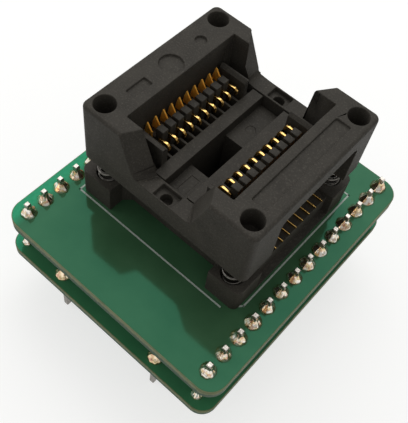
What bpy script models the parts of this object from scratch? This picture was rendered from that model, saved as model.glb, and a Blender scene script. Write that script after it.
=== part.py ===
"""IC programming adapter: an open-top test socket on two stacked circuit boards, with DIP pins below.

The origin is on the surface that the pin tips stand on, below the middle of the upper board.
"""

import math

import bmesh
import bpy
from mathutils import Matrix, Vector

MM = 0.001
NO_GAP = 0.02 * MM  # between faces that touch on the real object
CUT_BEYOND = 1.0 * MM  # how far a cutter reaches past what it cuts

# Pins
PITCH = 2.54 * MM
PINS_PER_ROW = 14
PIN_SPAN = (PINS_PER_ROW - 1) * PITCH
HEADER_ROW_SPACING = 27.94 * MM
DIP_ROW_SPACING = 15.24 * MM
PIN_ROWS_OFFSET_X = -0.27 * MM  # from the middle of the upper board
PIN_ROWS_OFFSET_Y = 0.31 * MM
LOWER_ROWS_SHIFT = -1.0 * MM
PIN_SIDE = 0.64 * MM
PIN_TAPER = 0.35 * MM
HOLE_CLEARANCE = 0.08 * MM
HOLE_SIDES = 6

# Boards
UPPER_MARGIN_X = 2.26 * MM  # around the pin rows
UPPER_MARGIN_Y = 1.9 * MM
UPPER_WIDTH = HEADER_ROW_SPACING + 2 * UPPER_MARGIN_X
UPPER_LENGTH = PIN_SPAN + 2 * UPPER_MARGIN_Y
UPPER_THICKNESS = 1.6 * MM
UPPER_CORNER = 2.3 * MM
LOWER_MARGIN_X = 2.08 * MM
LOWER_MARGIN_Y = 1.64 * MM
LOWER_WIDTH = HEADER_ROW_SPACING + 2 * LOWER_MARGIN_X
LOWER_LENGTH = PIN_SPAN + 2 * LOWER_MARGIN_Y
LOWER_OFFSET_X = 0.07 * MM  # from the middle of the upper board
LOWER_OFFSET_Y = -0.63 * MM
LOWER_THICKNESS = 1.2 * MM
LOWER_CORNER = 2.0 * MM
BOARD_GAP = 4.0 * MM
DIP_PIN_LENGTH = 7.3 * MM  # below the lower board

# Header strips and solder
STRIP_WIDTH = 2.5 * MM
STRIP_HEIGHT = 2.5 * MM
STRIP_NOTCH = 0.45 * MM
HEADER_PIN_ABOVE = 1.9 * MM
HEADER_PIN_BELOW = 1.0 * MM
DIP_PIN_ABOVE = 1.0 * MM
SOLDER_RADIUS = 1.05 * MM
SOLDER_NECK = 0.5 * MM
SOLDER_HEIGHT = 1.2 * MM
SOLDER_SIDES = 6

# Socket
SOCKET_OFFSET_X = -0.11 * MM  # from the middle of the pin rows
SOCKET_OFFSET_Y = 1.354 * MM
CONTACT_PITCH = 1.27 * MM
CONTACTS_PER_ROW = 10
RUNNING_GAP = 0.15 * MM  # between the base and the cover that slides on it
NEST_CLEARANCE = 0.15 * MM  # beyond the last half pitch of the rows
NEST_HALF_LENGTH = CONTACTS_PER_ROW * CONTACT_PITCH / 2 + NEST_CLEARANCE
GUIDE_DEPTH = 1.95 * MM

# Cover, with heights above the upper board
WINDOW_HALF_X = 7.15 * MM
WINDOW_HALF_Y = NEST_HALF_LENGTH + GUIDE_DEPTH + RUNNING_GAP
BLOCK_WIDTH = 4.6 * MM
SADDLE_DEPTH = 2.25 * MM
COVER_HALF_X = WINDOW_HALF_X + BLOCK_WIDTH
COVER_HALF_Y = WINDOW_HALF_Y + SADDLE_DEPTH
COVER_CORNER = 1.5 * MM
COVER_EDGE = 0.45 * MM
COVER_HEIGHT = 8.7 * MM
COVER_TRAVEL = 2.5 * MM
BASE_CLEARANCE = 0.4 * MM  # left between the feet and the cover that is pressed down
SADDLE_TOP = 9.85 * MM
SADDLE_HALF = 3.2 * MM
SADDLE_FILLET = 0.8 * MM
RETURN_TOP_AT_WINDOW = 4.8 * MM
RETURN_TOP_AT_END = 6.1 * MM
RETURN_FOOT_AT_WINDOW = 4.1 * MM
RETURN_FOOT_AT_END = 4.3 * MM
SIDE_OPENING_FRONT = -5.95 * MM
SIDE_OPENING_REAR = 7.45 * MM
SIDE_OPENING_CORNER = 1.0 * MM
BAR_THICKNESS = 2.35 * MM
LIP_THICKNESS = 0.8 * MM  # of the wall that hangs from a bar behind the levers
LIP_DEPTH = 3.65 * MM
LEVER_RELIEF = 0.25 * MM  # of the bar's inner face, for the levers
RELIEF_ABOVE = 1.35 * MM  # from the bar's lower face to where the relief starts and is full
RELIEF_BELOW = 0.25 * MM

# Blind holes and bare recesses of the cover, placed from its outer faces
CORNER_HOLE_IN_X = 1.85 * MM
CORNER_HOLE_IN_Y = 1.83 * MM
CORNER_HOLE_RADIUS = 1.25 * MM
CORNER_HOLE_DEPTH = 3.0 * MM
RECESS_DEPTH = 0.3 * MM
LONG_RECESS_IN = 2.51 * MM
LONG_RECESS_Y = -0.1 * MM
LONG_RECESS_HALF_X = 0.94 * MM
LONG_RECESS_END = 3.65 * MM
SHORT_RECESS_IN = 2.72 * MM
SHORT_RECESS_Y = -4.86 * MM
SHORT_RECESS_HALF_X = 0.62 * MM
SHORT_RECESS_HALF_Y = 1.4 * MM
ROUND_RECESS_IN = 2.78 * MM
ROUND_RECESS_Y = 0.05 * MM
ROUND_RECESS_RADIUS = 1.4 * MM
SMALL_RECESS_IN = 2.67 * MM
SMALL_RECESS_Y = 5.06 * MM
SMALL_RECESS_RADIUS = 0.7 * MM
SADDLE_POCKET_HALF_X = 1.3 * MM
SADDLE_POCKET_HALF_Y = 0.8 * MM
SADDLE_POCKET_DEPTH = 0.55 * MM
SADDLE_POCKET_RIM = 0.45 * MM
SADDLE_HOLE_RADIUS = 0.75 * MM
SADDLE_HOLE_DEPTH = 1.5 * MM

# Base, with heights above the upper board
FLANGE_HEIGHT = 0.5 * MM
DECK_IN_X = 0.85 * MM  # from the cover's sides
DECK_IN_Y = 0.55 * MM  # from the window's ends
DECK_HALF_X = COVER_HALF_X - DECK_IN_X
DECK_HALF_Y = WINDOW_HALF_Y - DECK_IN_Y
DECK_TOP = 3.4 * MM
PLATFORM_TOP = 9.75 * MM
COMB_INNER = 4.75 * MM
COMB_DEPTH = 1.05 * MM
COMB_TOP = 12.2 * MM
BACK_TOP = 10.6 * MM
GUIDE_INNER = 3.1 * MM
GUIDE_TOP = 12.3 * MM
LEAD_IN = 0.9 * MM
SLOT_WIDTH = 0.38 * MM
BAY_INNER = 3.15 * MM
BAY_FLOOR = 6.5 * MM
FINGER_END = 4.3 * MM
FINGER_WIDTH = 0.3 * MM
TROUGH_HALF = 1.55 * MM
TROUGH_FLOOR = 8.2 * MM
PIT_FRONT = -4.0 * MM
PIT_REAR = 1.87 * MM
PIT_FLOOR = 1.5 * MM
FOOT_WIDTH = 4.35 * MM
FOOT_LENGTH = 4.1 * MM
FOOT_NOTCH = 0.93 * MM
FOOT_TOP = 4.0 * MM
COVER_BOTTOM = FOOT_TOP + COVER_TRAVEL + BASE_CLEARANCE
COVER_TOP = COVER_BOTTOM + COVER_HEIGHT
BAR_BOTTOM = COVER_TOP - BAR_THICKNESS
LIP_BOTTOM = BAR_BOTTOM - LIP_DEPTH
LIP_INNER = WINDOW_HALF_X + LEVER_RELIEF
COMB_HALF_LENGTH = (CONTACTS_PER_ROW - 1) * CONTACT_PITCH / 2

# Shallow marks on the base, left by its mould
MARK_DEPTH = 0.08 * MM
FRONT_MARK_HALF_X = 0.58 * MM
FRONT_MARK_LENGTH = 2.5 * MM
REAR_MARK_IN = 4.0 * MM
REAR_MARK_RADIUS = 0.6 * MM

# Springs
SPRING_IN_X = 2.25 * MM  # from the outer faces of the cover
SPRING_IN_Y = 1.8 * MM
SPRING_RADIUS = 1.15 * MM
SPRING_WIRE = 0.4 * MM
SPRING_TURNS = 4
SPRING_STEPS = 6
SPRING_CLEARANCE = 0.1 * MM
FOOT_POCKET_DEPTH = 1.0 * MM
COVER_POCKET_DEPTH = 1.2 * MM

# Contacts, as distances from the socket's middle and heights above the upper board
CONTACT_THICKNESS = 0.2 * MM
CONTACT_SEAT = 0.05 * MM
TIP_X = 4.05 * MM
TIP_Z = 11.45 * MM
TIP_RADIUS = 0.62 * MM
TIP_BAND = 0.34 * MM
TIP_END_ANGLE = 215
ARM_TOP_OUT = 1.1 * MM  # from the tip
ARM_TOP_BELOW = 0.13 * MM
ARM_TOP_WIDTH = 0.55 * MM
ARM_FOOT_OUT = 1.3 * MM
ARM_FOOT_WIDTH = 0.7 * MM
ARM_HEEL = 0.1 * MM
FIN_INNER = 6.1 * MM
FIN_WIDTH = 0.92 * MM
FIN_TOP = 12.4 * MM
FIN_TIP_WIDTH = 0.1 * MM
FIN_SPIKE_WIDTH = 0.35 * MM
FIN_SPIKE_HEIGHT = 1.33 * MM
FIN_STEP = 0.12 * MM
FIN_FLARE = 0.28 * MM
FIN_FLARE_BELOW = 1.8 * MM
FIN_BLADE_BOTTOM = 9.7 * MM
FIN_SHOULDER = 0.5 * MM
STEM_INSET_INNER = 0.4 * MM
STEM_INSET_OUTER = 0.1 * MM
TOE_SLOPE = 1.0 * MM
ARM_HEIGHT = 0.32 * MM
BODY_HEIGHT = 1.05 * MM
TAIL_WIDTH = 0.5 * MM
TAIL_OUT = 0.43 * MM  # from the fins to the inner tails
TAIL_STAGGER = 2.0 * MM
TAIL_BELOW_BOARD = 1.0 * MM

# Places in the part's frame, whose origin is below the middle of both boards together
UPPER_CENTRE = Vector((0, (LOWER_LENGTH - UPPER_LENGTH) / 4 - LOWER_OFFSET_Y / 2))
LOWER_CENTRE = UPPER_CENTRE + Vector((LOWER_OFFSET_X, LOWER_OFFSET_Y))
PIN_ROWS_CENTRE = UPPER_CENTRE + Vector((PIN_ROWS_OFFSET_X, PIN_ROWS_OFFSET_Y))
SOCKET_CENTRE = PIN_ROWS_CENTRE + Vector((SOCKET_OFFSET_X, SOCKET_OFFSET_Y))
LOWER_BOTTOM = DIP_PIN_LENGTH
LOWER_TOP = LOWER_BOTTOM + LOWER_THICKNESS
UPPER_BOTTOM = LOWER_TOP + BOARD_GAP
UPPER_TOP = UPPER_BOTTOM + UPPER_THICKNESS
FIN_OUTER = FIN_INNER + FIN_WIDTH
ARM_END = DECK_HALF_X + CONTACT_SEAT
CORNER_HOLE = Vector((COVER_HALF_X - CORNER_HOLE_IN_X, COVER_HALF_Y - CORNER_HOLE_IN_Y))
SPRING_CENTRE = Vector((COVER_HALF_X - SPRING_IN_X, COVER_HALF_Y - SPRING_IN_Y))

ROUND_STEPS = 4
SMALL_ROUND_STEPS = 2
CIRCLE_SIDES = 14


def clear_scene():
    for obj in list(bpy.data.objects):
        bpy.data.objects.remove(obj)


def collection(name, visible=True):
    made = bpy.data.collections.new(name)
    made.hide_render = not visible
    bpy.context.scene.collection.children.link(made)
    return made


def material(name, colour, roughness, metallic=0.0):
    made = bpy.data.materials.new(name)
    made.use_nodes = True
    shader = made.node_tree.nodes["Principled BSDF"]
    shader.inputs["Base Color"].default_value = (*colour, 1)
    shader.inputs["Roughness"].default_value = roughness
    shader.inputs["Metallic"].default_value = metallic
    made.diffuse_color = (*colour, 1)
    return made


def arc(centre, radius, start, end, steps):
    """Points on an arc, with its angles in degrees."""
    angles = [math.radians(start + (end - start) * i / steps) for i in range(steps + 1)]
    return [(centre[0] + radius * math.cos(a), centre[1] + radius * math.sin(a)) for a in angles]


def rounded_rectangle(half_x, half_y, radius):
    inner_x = half_x - radius
    inner_y = half_y - radius
    corners = [(inner_x, inner_y), (-inner_x, inner_y), (-inner_x, -inner_y), (inner_x, -inner_y)]
    points = []
    for turn, middle in enumerate(corners):
        points += arc(middle, radius, 90 * turn, 90 * turn + 90, ROUND_STEPS)
    return points


def add_prism(bm, outline, start, end, axis="Z"):
    """Extrudes a flat outline. Its points are (x, y) along Z, (y, z) along X and (x, z) along Y."""
    place = {
        "Z": lambda a, b: (a, b, start),
        "X": lambda a, b: (start, a, b),
        "Y": lambda a, b: (a, start, b),
    }[axis]
    face = bm.faces.new([bm.verts.new(place(a, b)) for a, b in outline])
    pushed = bmesh.ops.extrude_face_region(bm, geom=[face])["geom"]
    offset = Vector([end - start if name == axis else 0 for name in "XYZ"])
    verts = [item for item in pushed if isinstance(item, bmesh.types.BMVert)]
    bmesh.ops.translate(bm, verts=verts, vec=offset)


def add_box(bm, low, high):
    middle = (Vector(low) + Vector(high)) / 2
    size = Vector(high) - Vector(low)
    place = Matrix.Translation(middle) @ Matrix.Diagonal((*size, 1))
    return bmesh.ops.create_cube(bm, size=1, matrix=place)["verts"]


def add_cone(bm, centre, bottom, top, bottom_radius, top_radius, sides=CIRCLE_SIDES):
    place = Matrix.Translation((centre[0], centre[1], (bottom + top) / 2))
    bmesh.ops.create_cone(
        bm,
        cap_ends=True,
        segments=sides,
        radius1=bottom_radius,
        radius2=top_radius,
        depth=top - bottom,
        matrix=place,
    )


def add_loft(bm, near, far):
    """Joins two outlines that have the same number of points into a closed solid."""
    rings = [[bm.verts.new(point) for point in ring] for ring in (near, far)]
    edges = []
    for ring in rings:
        face = bm.faces.new(ring)
        edges += face.edges
    bmesh.ops.bridge_loops(bm, edges=edges)


def add_pin(bm, centre, bottom, top):
    """A square pin with a tapered lower tip."""
    half = PIN_SIDE / 2
    low = (centre[0] - half, centre[1] - half, bottom + PIN_TAPER)
    high = (centre[0] + half, centre[1] + half, top)
    verts = add_box(bm, low, high)
    tip = min((face for vert in verts for face in vert.link_faces), key=lambda f: f.calc_center_median().z)
    pushed = bmesh.ops.extrude_face_region(bm, geom=[tip])["geom"]
    bmesh.ops.delete(bm, geom=[tip], context="FACES")
    ends = [item for item in pushed if isinstance(item, bmesh.types.BMVert)]
    bmesh.ops.translate(bm, verts=ends, vec=(0, 0, -PIN_TAPER))
    about = Matrix.Translation((-centre[0], -centre[1], 0))
    bmesh.ops.scale(bm, verts=ends, vec=(0.5, 0.5, 1), space=about)


def make_object(bm, name, home, surface=None, parent=None, location=(0, 0, 0)):
    bmesh.ops.connect_verts_nonplanar(bm, angle_limit=math.radians(0.01), faces=bm.faces)
    bmesh.ops.recalc_face_normals(bm, faces=bm.faces)
    mesh = bpy.data.meshes.new(name)
    bm.to_mesh(mesh)
    bm.free()
    if surface:
        mesh.materials.append(surface)
    obj = bpy.data.objects.new(name, mesh)
    obj.location = location
    obj.parent = parent
    home.objects.link(obj)
    if home.hide_render:
        obj.hide_render = True
        obj.display_type = "WIRE"
    return obj


def combine(obj, other, operation):
    modifier = obj.modifiers.new(f"{operation.lower()} {other.name}", "BOOLEAN")
    modifier.operation = operation
    modifier.solver = "EXACT"
    modifier.use_self = True
    modifier.material_mode = "TRANSFER"
    modifier.object = other


def row_positions(count, pitch):
    return [(i - (count - 1) / 2) * pitch for i in range(count)]


def pin_places(row_spacing, shift=0.0):
    """(x, y) of each pin, the left row first and each row from the front."""
    middle = PIN_ROWS_CENTRE + Vector((0, shift))
    return [
        Vector((middle.x + side * row_spacing / 2, middle.y + y))
        for side in (-1, 1)
        for y in row_positions(PINS_PER_ROW, PITCH)
    ]


def hole_radius(width, depth):
    """The radius of a drilled hole, as a polygon, that a pin of this section passes."""
    diagonal = math.hypot(width, depth) / 2
    return (diagonal + HOLE_CLEARANCE) / math.cos(math.pi / HOLE_SIDES)


def tail_x(index):
    """The distance of a contact's tail from the socket's middle: every other one is further out."""
    return FIN_OUTER + TAIL_OUT + TAIL_STAGGER * (index % 2)


def make_board(name, width, length, centre, corner, bottom, thickness, holes, surface, parts, cutters):
    bm = bmesh.new()
    add_prism(bm, rounded_rectangle(width / 2, length / 2, corner), 0, thickness)
    board = make_object(bm, name, parts, surface, location=(*centre, bottom))
    bm = bmesh.new()
    for x, y, radius in holes:
        add_cone(bm, (x, y), bottom - CUT_BEYOND, bottom + thickness + CUT_BEYOND, radius, radius, HOLE_SIDES)
    combine(board, make_object(bm, f"{name} holes", cutters), "DIFFERENCE")
    return board


def make_boards(mask, parts, cutters):
    pin_hole = hole_radius(PIN_SIDE, PIN_SIDE)
    tail_hole = hole_radius(TAIL_WIDTH, CONTACT_THICKNESS)
    upper_holes = [(x, y, pin_hole) for x, y in pin_places(HEADER_ROW_SPACING)]
    for side in (-1, 1):
        for index, y in enumerate(row_positions(CONTACTS_PER_ROW, CONTACT_PITCH)):
            x = SOCKET_CENTRE.x + side * tail_x(index)
            upper_holes.append((x, SOCKET_CENTRE.y + y, tail_hole))
    lower_holes = [
        (x, y, pin_hole)
        for spacing in (HEADER_ROW_SPACING, DIP_ROW_SPACING)
        for x, y in pin_places(spacing, LOWER_ROWS_SHIFT)
    ]
    make_board(
        "upper_board", UPPER_WIDTH, UPPER_LENGTH, UPPER_CENTRE, UPPER_CORNER,
        UPPER_BOTTOM, UPPER_THICKNESS, upper_holes, mask, parts, cutters,
    )
    make_board(
        "lower_board", LOWER_WIDTH, LOWER_LENGTH, LOWER_CENTRE, LOWER_CORNER,
        LOWER_BOTTOM, LOWER_THICKNESS, lower_holes, mask, parts, cutters,
    )


def header_pin_outline():
    """The side of a header pin as (y, z), which steps forward below its strip."""
    half = PIN_SIDE / 2
    step_top = UPPER_BOTTOM - NO_GAP - STRIP_HEIGHT
    step_bottom = LOWER_TOP + NO_GAP
    shift = LOWER_ROWS_SHIFT
    top = UPPER_TOP + HEADER_PIN_ABOVE
    bottom = LOWER_BOTTOM - HEADER_PIN_BELOW
    return [
        (-half, top - PIN_TAPER),
        (-half, step_top),
        (shift - half, step_bottom),
        (shift - half, bottom),
        (shift + half, bottom),
        (shift + half, step_bottom),
        (half, step_top),
        (half, top - PIN_TAPER),
        (half / 2, top),
        (-half / 2, top),
    ]


def make_header(name, side, plastic, metal, parts, cutters):
    """An insulator strip with its pins and their solder, fused into one."""
    row_x = PIN_ROWS_CENTRE.x + side * HEADER_ROW_SPACING / 2
    strip_top = UPPER_BOTTOM - NO_GAP
    half_length = PINS_PER_ROW * PITCH / 2
    rows = row_positions(PINS_PER_ROW, PITCH)
    outline = []
    for edge in (1, -1):
        x = edge * STRIP_WIDTH / 2
        for y in rows if edge > 0 else reversed(rows):
            before = y - edge * PITCH / 2
            after = y + edge * PITCH / 2
            outline += [
                (x - edge * STRIP_NOTCH, before),
                (x, before + edge * STRIP_NOTCH),
                (x, after - edge * STRIP_NOTCH),
            ]
        outline.append((x - edge * STRIP_NOTCH, edge * half_length))
    bm = bmesh.new()
    add_prism(bm, outline, strip_top - STRIP_HEIGHT, strip_top)
    place = (row_x, PIN_ROWS_CENTRE.y, 0)
    strip = make_object(bm, name, parts, plastic, location=place)
    bm = bmesh.new()
    pin_outline = header_pin_outline()
    for y in rows:
        outline = [(y + a, b) for a, b in pin_outline]
        add_prism(bm, outline, -PIN_SIDE / 2, PIN_SIDE / 2, "X")
        add_cone(
            bm, (0, y), UPPER_TOP + NO_GAP, UPPER_TOP + NO_GAP + SOLDER_HEIGHT,
            SOLDER_RADIUS, SOLDER_NECK, SOLDER_SIDES,
        )
        add_cone(
            bm, (0, y + LOWER_ROWS_SHIFT), LOWER_BOTTOM - NO_GAP - SOLDER_HEIGHT, LOWER_BOTTOM - NO_GAP,
            SOLDER_NECK, SOLDER_RADIUS, SOLDER_SIDES,
        )
    combine(strip, make_object(bm, f"{name} pins", cutters, metal, location=place), "UNION")


def make_dip_pins(metal, parts, cutters):
    for number, place in enumerate(pin_places(DIP_ROW_SPACING, LOWER_ROWS_SHIFT), 1):
        name = f"dip_pin_{number:02}"
        foot = (place.x, place.y, 0)
        bm = bmesh.new()
        add_pin(bm, (0, 0), 0, LOWER_TOP + DIP_PIN_ABOVE)
        pin = make_object(bm, name, parts, metal, location=foot)
        bm = bmesh.new()
        bottom = LOWER_TOP + NO_GAP
        add_cone(bm, (0, 0), bottom, bottom + SOLDER_HEIGHT, SOLDER_RADIUS, SOLDER_NECK, SOLDER_SIDES)
        combine(pin, make_object(bm, f"{name} solder", cutters, metal, location=foot), "UNION")


def saddle_profile(foot, top):
    """The space above a saddle as (x, z), between the two returns."""
    fillet_z = SADDLE_TOP + SADDLE_FILLET
    above = COVER_TOP + CUT_BEYOND
    reach = foot + (top - foot) * (above - fillet_z) / (COVER_TOP - fillet_z)
    steps = 3
    right = []
    for i in range(steps + 1):
        angle = math.pi / 2 * i / steps
        x = SADDLE_HALF + (foot - SADDLE_HALF) * math.sin(angle)
        z = SADDLE_TOP + SADDLE_FILLET * (1 - math.cos(angle))
        right.append((x, z))
    right.append((reach, above))
    return right + [(-x, z) for x, z in reversed(right)]


def cover_cutters(bm):
    add_box(
        bm, (-WINDOW_HALF_X, -WINDOW_HALF_Y, COVER_BOTTOM - CUT_BEYOND),
        (WINDOW_HALF_X, WINDOW_HALF_Y, COVER_TOP + CUT_BEYOND),
    )
    slope = (RETURN_TOP_AT_END - RETURN_TOP_AT_WINDOW) / SADDLE_DEPTH
    foot_slope = (RETURN_FOOT_AT_END - RETURN_FOOT_AT_WINDOW) / SADDLE_DEPTH
    near_foot = RETURN_FOOT_AT_WINDOW - foot_slope * CUT_BEYOND
    near_top = RETURN_TOP_AT_WINDOW - slope * CUT_BEYOND
    far_foot = RETURN_FOOT_AT_END + foot_slope * CUT_BEYOND
    far_top = RETURN_TOP_AT_END + slope * CUT_BEYOND
    pocket_floor = SADDLE_TOP - SADDLE_POCKET_DEPTH
    half_x = SADDLE_POCKET_HALF_X
    half_y = SADDLE_POCKET_HALF_Y
    radius = spring_pocket_radius()
    for end in (-1, 1):
        near_y = end * (WINDOW_HALF_Y - CUT_BEYOND)
        far_y = end * (COVER_HALF_Y + CUT_BEYOND)
        near = [(x, near_y, z) for x, z in saddle_profile(near_foot, near_top)]
        far = [(x, far_y, z) for x, z in saddle_profile(far_foot, far_top)]
        add_loft(bm, near, far)
        pocket_y = end * (COVER_HALF_Y - SADDLE_POCKET_RIM - half_y)
        low = (-half_x, pocket_y - half_y, pocket_floor)
        add_box(bm, low, (half_x, pocket_y + half_y, SADDLE_TOP + CUT_BEYOND))
        add_cone(
            bm, (0, pocket_y), pocket_floor - SADDLE_HOLE_DEPTH, pocket_floor + CUT_BEYOND / 2,
            SADDLE_HOLE_RADIUS, SADDLE_HOLE_RADIUS,
        )
        for side in (-1, 1):
            hole = (side * CORNER_HOLE.x, end * CORNER_HOLE.y)
            bottom = COVER_TOP - CORNER_HOLE_DEPTH
            add_cone(bm, hole, bottom, COVER_TOP + CUT_BEYOND, CORNER_HOLE_RADIUS, CORNER_HOLE_RADIUS)
            seat = (side * SPRING_CENTRE.x, end * SPRING_CENTRE.y)
            add_cone(bm, seat, COVER_BOTTOM - CUT_BEYOND, COVER_BOTTOM + COVER_POCKET_DEPTH, radius, radius)


def side_opening_outline():
    """The opening of both long sides as (y, z), with rounded upper corners."""
    r = SIDE_OPENING_CORNER
    low = COVER_BOTTOM - CUT_BEYOND
    rear = arc((SIDE_OPENING_REAR - r, BAR_BOTTOM - r), r, 0, 90, ROUND_STEPS)
    front = arc((SIDE_OPENING_FRONT + r, BAR_BOTTOM - r), r, 90, 180, ROUND_STEPS)
    return [(SIDE_OPENING_FRONT, low), (SIDE_OPENING_REAR, low)] + rear + front


def side_cutters(bm):
    """The opening below each bar and its lip, and the room for the levers."""
    low = COVER_BOTTOM - CUT_BEYOND
    lip_outer = LIP_INNER + LIP_THICKNESS
    inside = WINDOW_HALF_X - CUT_BEYOND
    relief = [
        (inside, LIP_BOTTOM),
        (LIP_INNER, LIP_BOTTOM),
        (LIP_INNER, BAR_BOTTOM - RELIEF_BELOW),
        (WINDOW_HALF_X, BAR_BOTTOM + RELIEF_ABOVE),
        (inside, BAR_BOTTOM + RELIEF_ABOVE),
    ]
    for side in (-1, 1):
        add_prism(bm, side_opening_outline(), side * lip_outer, side * (COVER_HALF_X + CUT_BEYOND), "X")
        near = (side * inside, SIDE_OPENING_FRONT, low)
        far = (side * (lip_outer + NO_GAP), SIDE_OPENING_REAR, LIP_BOTTOM + NO_GAP)
        add_box(bm, [min(pair) for pair in zip(near, far)], [max(pair) for pair in zip(near, far)])
        outline = [(side * x, z) for x, z in relief]
        add_prism(bm, outline, SIDE_OPENING_FRONT, SIDE_OPENING_REAR, "Y")


def recess_cutters(bm):
    """Cutters of the bare recesses in the cover's top: two long, two round."""
    bottom = COVER_TOP - RECESS_DEPTH
    top = COVER_TOP + CUT_BEYOND
    long_half_y = COVER_HALF_Y - LONG_RECESS_END
    for x, y, half_x, half_y in (
        (COVER_HALF_X - LONG_RECESS_IN, LONG_RECESS_Y, LONG_RECESS_HALF_X, long_half_y),
        (SHORT_RECESS_IN - COVER_HALF_X, SHORT_RECESS_Y, SHORT_RECESS_HALF_X, SHORT_RECESS_HALF_Y),
    ):
        add_box(bm, (x - half_x, y - half_y, bottom), (x + half_x, y + half_y, top))
    for inset, y, radius in (
        (ROUND_RECESS_IN, ROUND_RECESS_Y, ROUND_RECESS_RADIUS),
        (SMALL_RECESS_IN, SMALL_RECESS_Y, SMALL_RECESS_RADIUS),
    ):
        add_cone(bm, (inset - COVER_HALF_X, y), bottom, top, radius, radius)


def make_cover(plastic, parts, cutters, socket):
    bm = bmesh.new()
    add_prism(bm, rounded_rectangle(COVER_HALF_X, COVER_HALF_Y, COVER_CORNER), COVER_BOTTOM, COVER_TOP)
    rim = [edge for edge in bm.edges if all(abs(v.co.z - COVER_TOP) < NO_GAP for v in edge.verts)]
    bmesh.ops.bevel(bm, geom=rim, offset=COVER_EDGE, segments=2, affect="EDGES")
    cover = make_object(bm, "cover", parts, plastic, socket)
    bm = bmesh.new()
    cover_cutters(bm)
    combine(cover, make_object(bm, "cover window and saddles", cutters, parent=socket), "DIFFERENCE")
    bm = bmesh.new()
    side_cutters(bm)
    recess_cutters(bm)
    combine(cover, make_object(bm, "cover side openings", cutters, parent=socket), "DIFFERENCE")


def spring_pocket_radius():
    return SPRING_RADIUS + SPRING_WIRE / 2 + SPRING_CLEARANCE


def foot_outline(side, end):
    """A foot of the base as (x, y), with a rounded outer corner and a slanted inner one."""
    r = COVER_CORNER
    inner_x = COVER_HALF_X - FOOT_WIDTH
    inner_y = COVER_HALF_Y - FOOT_LENGTH
    notch_y = DECK_HALF_Y + FOOT_NOTCH
    points = [(COVER_HALF_X, inner_y)]
    points += arc((COVER_HALF_X - r, COVER_HALF_Y - r), r, 0, 90, ROUND_STEPS)
    points += [(inner_x, COVER_HALF_Y), (inner_x, notch_y)]
    points += [(inner_x - FOOT_NOTCH, DECK_HALF_Y), (inner_x - FOOT_NOTCH, inner_y)]
    points = [(side * x, end * y) for x, y in points]
    return points if side * end > 0 else points[::-1]


def base_shapes(bm):
    """What the base is made of, as solids that overlap."""
    tower_x = WINDOW_HALF_X - RUNNING_GAP
    tower_y = WINDOW_HALF_Y - RUNNING_GAP
    comb_outer = COMB_INNER + COMB_DEPTH
    sunk = PLATFORM_TOP - CUT_BEYOND
    add_box(bm, (-COVER_HALF_X, -DECK_HALF_Y, 0), (COVER_HALF_X, DECK_HALF_Y, FLANGE_HEIGHT))
    add_box(bm, (-tower_x, -tower_y, DECK_TOP - CUT_BEYOND), (tower_x, tower_y, PLATFORM_TOP))
    comb = [
        (COMB_INNER, sunk),
        (tower_x, sunk),
        (tower_x, BACK_TOP),
        (comb_outer, BACK_TOP),
        (comb_outer, COMB_TOP),
        (COMB_INNER, COMB_TOP),
    ]
    guide = [
        (NEST_HALF_LENGTH, sunk),
        (tower_y, sunk),
        (tower_y, GUIDE_TOP),
        (NEST_HALF_LENGTH + LEAD_IN, GUIDE_TOP),
        (NEST_HALF_LENGTH, GUIDE_TOP - LEAD_IN),
    ]
    for side in (-1, 1):
        outline = [(side * x, z) for x, z in comb]
        add_prism(bm, outline, -COMB_HALF_LENGTH, COMB_HALF_LENGTH, "Y")
        for end in (-1, 1):
            outline = [(end * y, z) for y, z in guide]
            add_prism(bm, outline, side * GUIDE_INNER, side * tower_x, "X")
            add_prism(bm, foot_outline(side, end), 0, FOOT_TOP)


def bay_outline(side):
    """The channel between the platform and a comb as (x, y), around the fingers below the contacts' tips."""
    half = FINGER_WIDTH / 2
    points = [(BAY_INNER, -NEST_HALF_LENGTH)]
    for y in row_positions(CONTACTS_PER_ROW, CONTACT_PITCH):
        points += [(BAY_INNER, y - half), (FINGER_END, y - half)]
        points += [(FINGER_END, y + half), (BAY_INNER, y + half)]
    points += [(BAY_INNER, NEST_HALF_LENGTH), (COMB_INNER, NEST_HALF_LENGTH), (COMB_INNER, -NEST_HALF_LENGTH)]
    return [(side * x, y) for x, y in points]


def trough_cutters(bm, top):
    """The channel between the rows, its pit, and the shallow marks on its floor."""
    beyond_y = WINDOW_HALF_Y + CUT_BEYOND
    add_box(bm, (-TROUGH_HALF, -beyond_y, TROUGH_FLOOR), (TROUGH_HALF, beyond_y, top))
    add_box(bm, (-TROUGH_HALF, PIT_FRONT, PIT_FLOOR), (TROUGH_HALF, PIT_REAR, top))
    bottom = TROUGH_FLOOR - MARK_DEPTH
    front = (PIT_FRONT - WINDOW_HALF_Y) / 2
    half_y = FRONT_MARK_LENGTH / 2
    low = (-FRONT_MARK_HALF_X, front - half_y, bottom)
    add_box(bm, low, (FRONT_MARK_HALF_X, front + half_y, top))
    rear = (0, WINDOW_HALF_Y - REAR_MARK_IN)
    add_cone(bm, rear, bottom, top, REAR_MARK_RADIUS, REAR_MARK_RADIUS)


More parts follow.
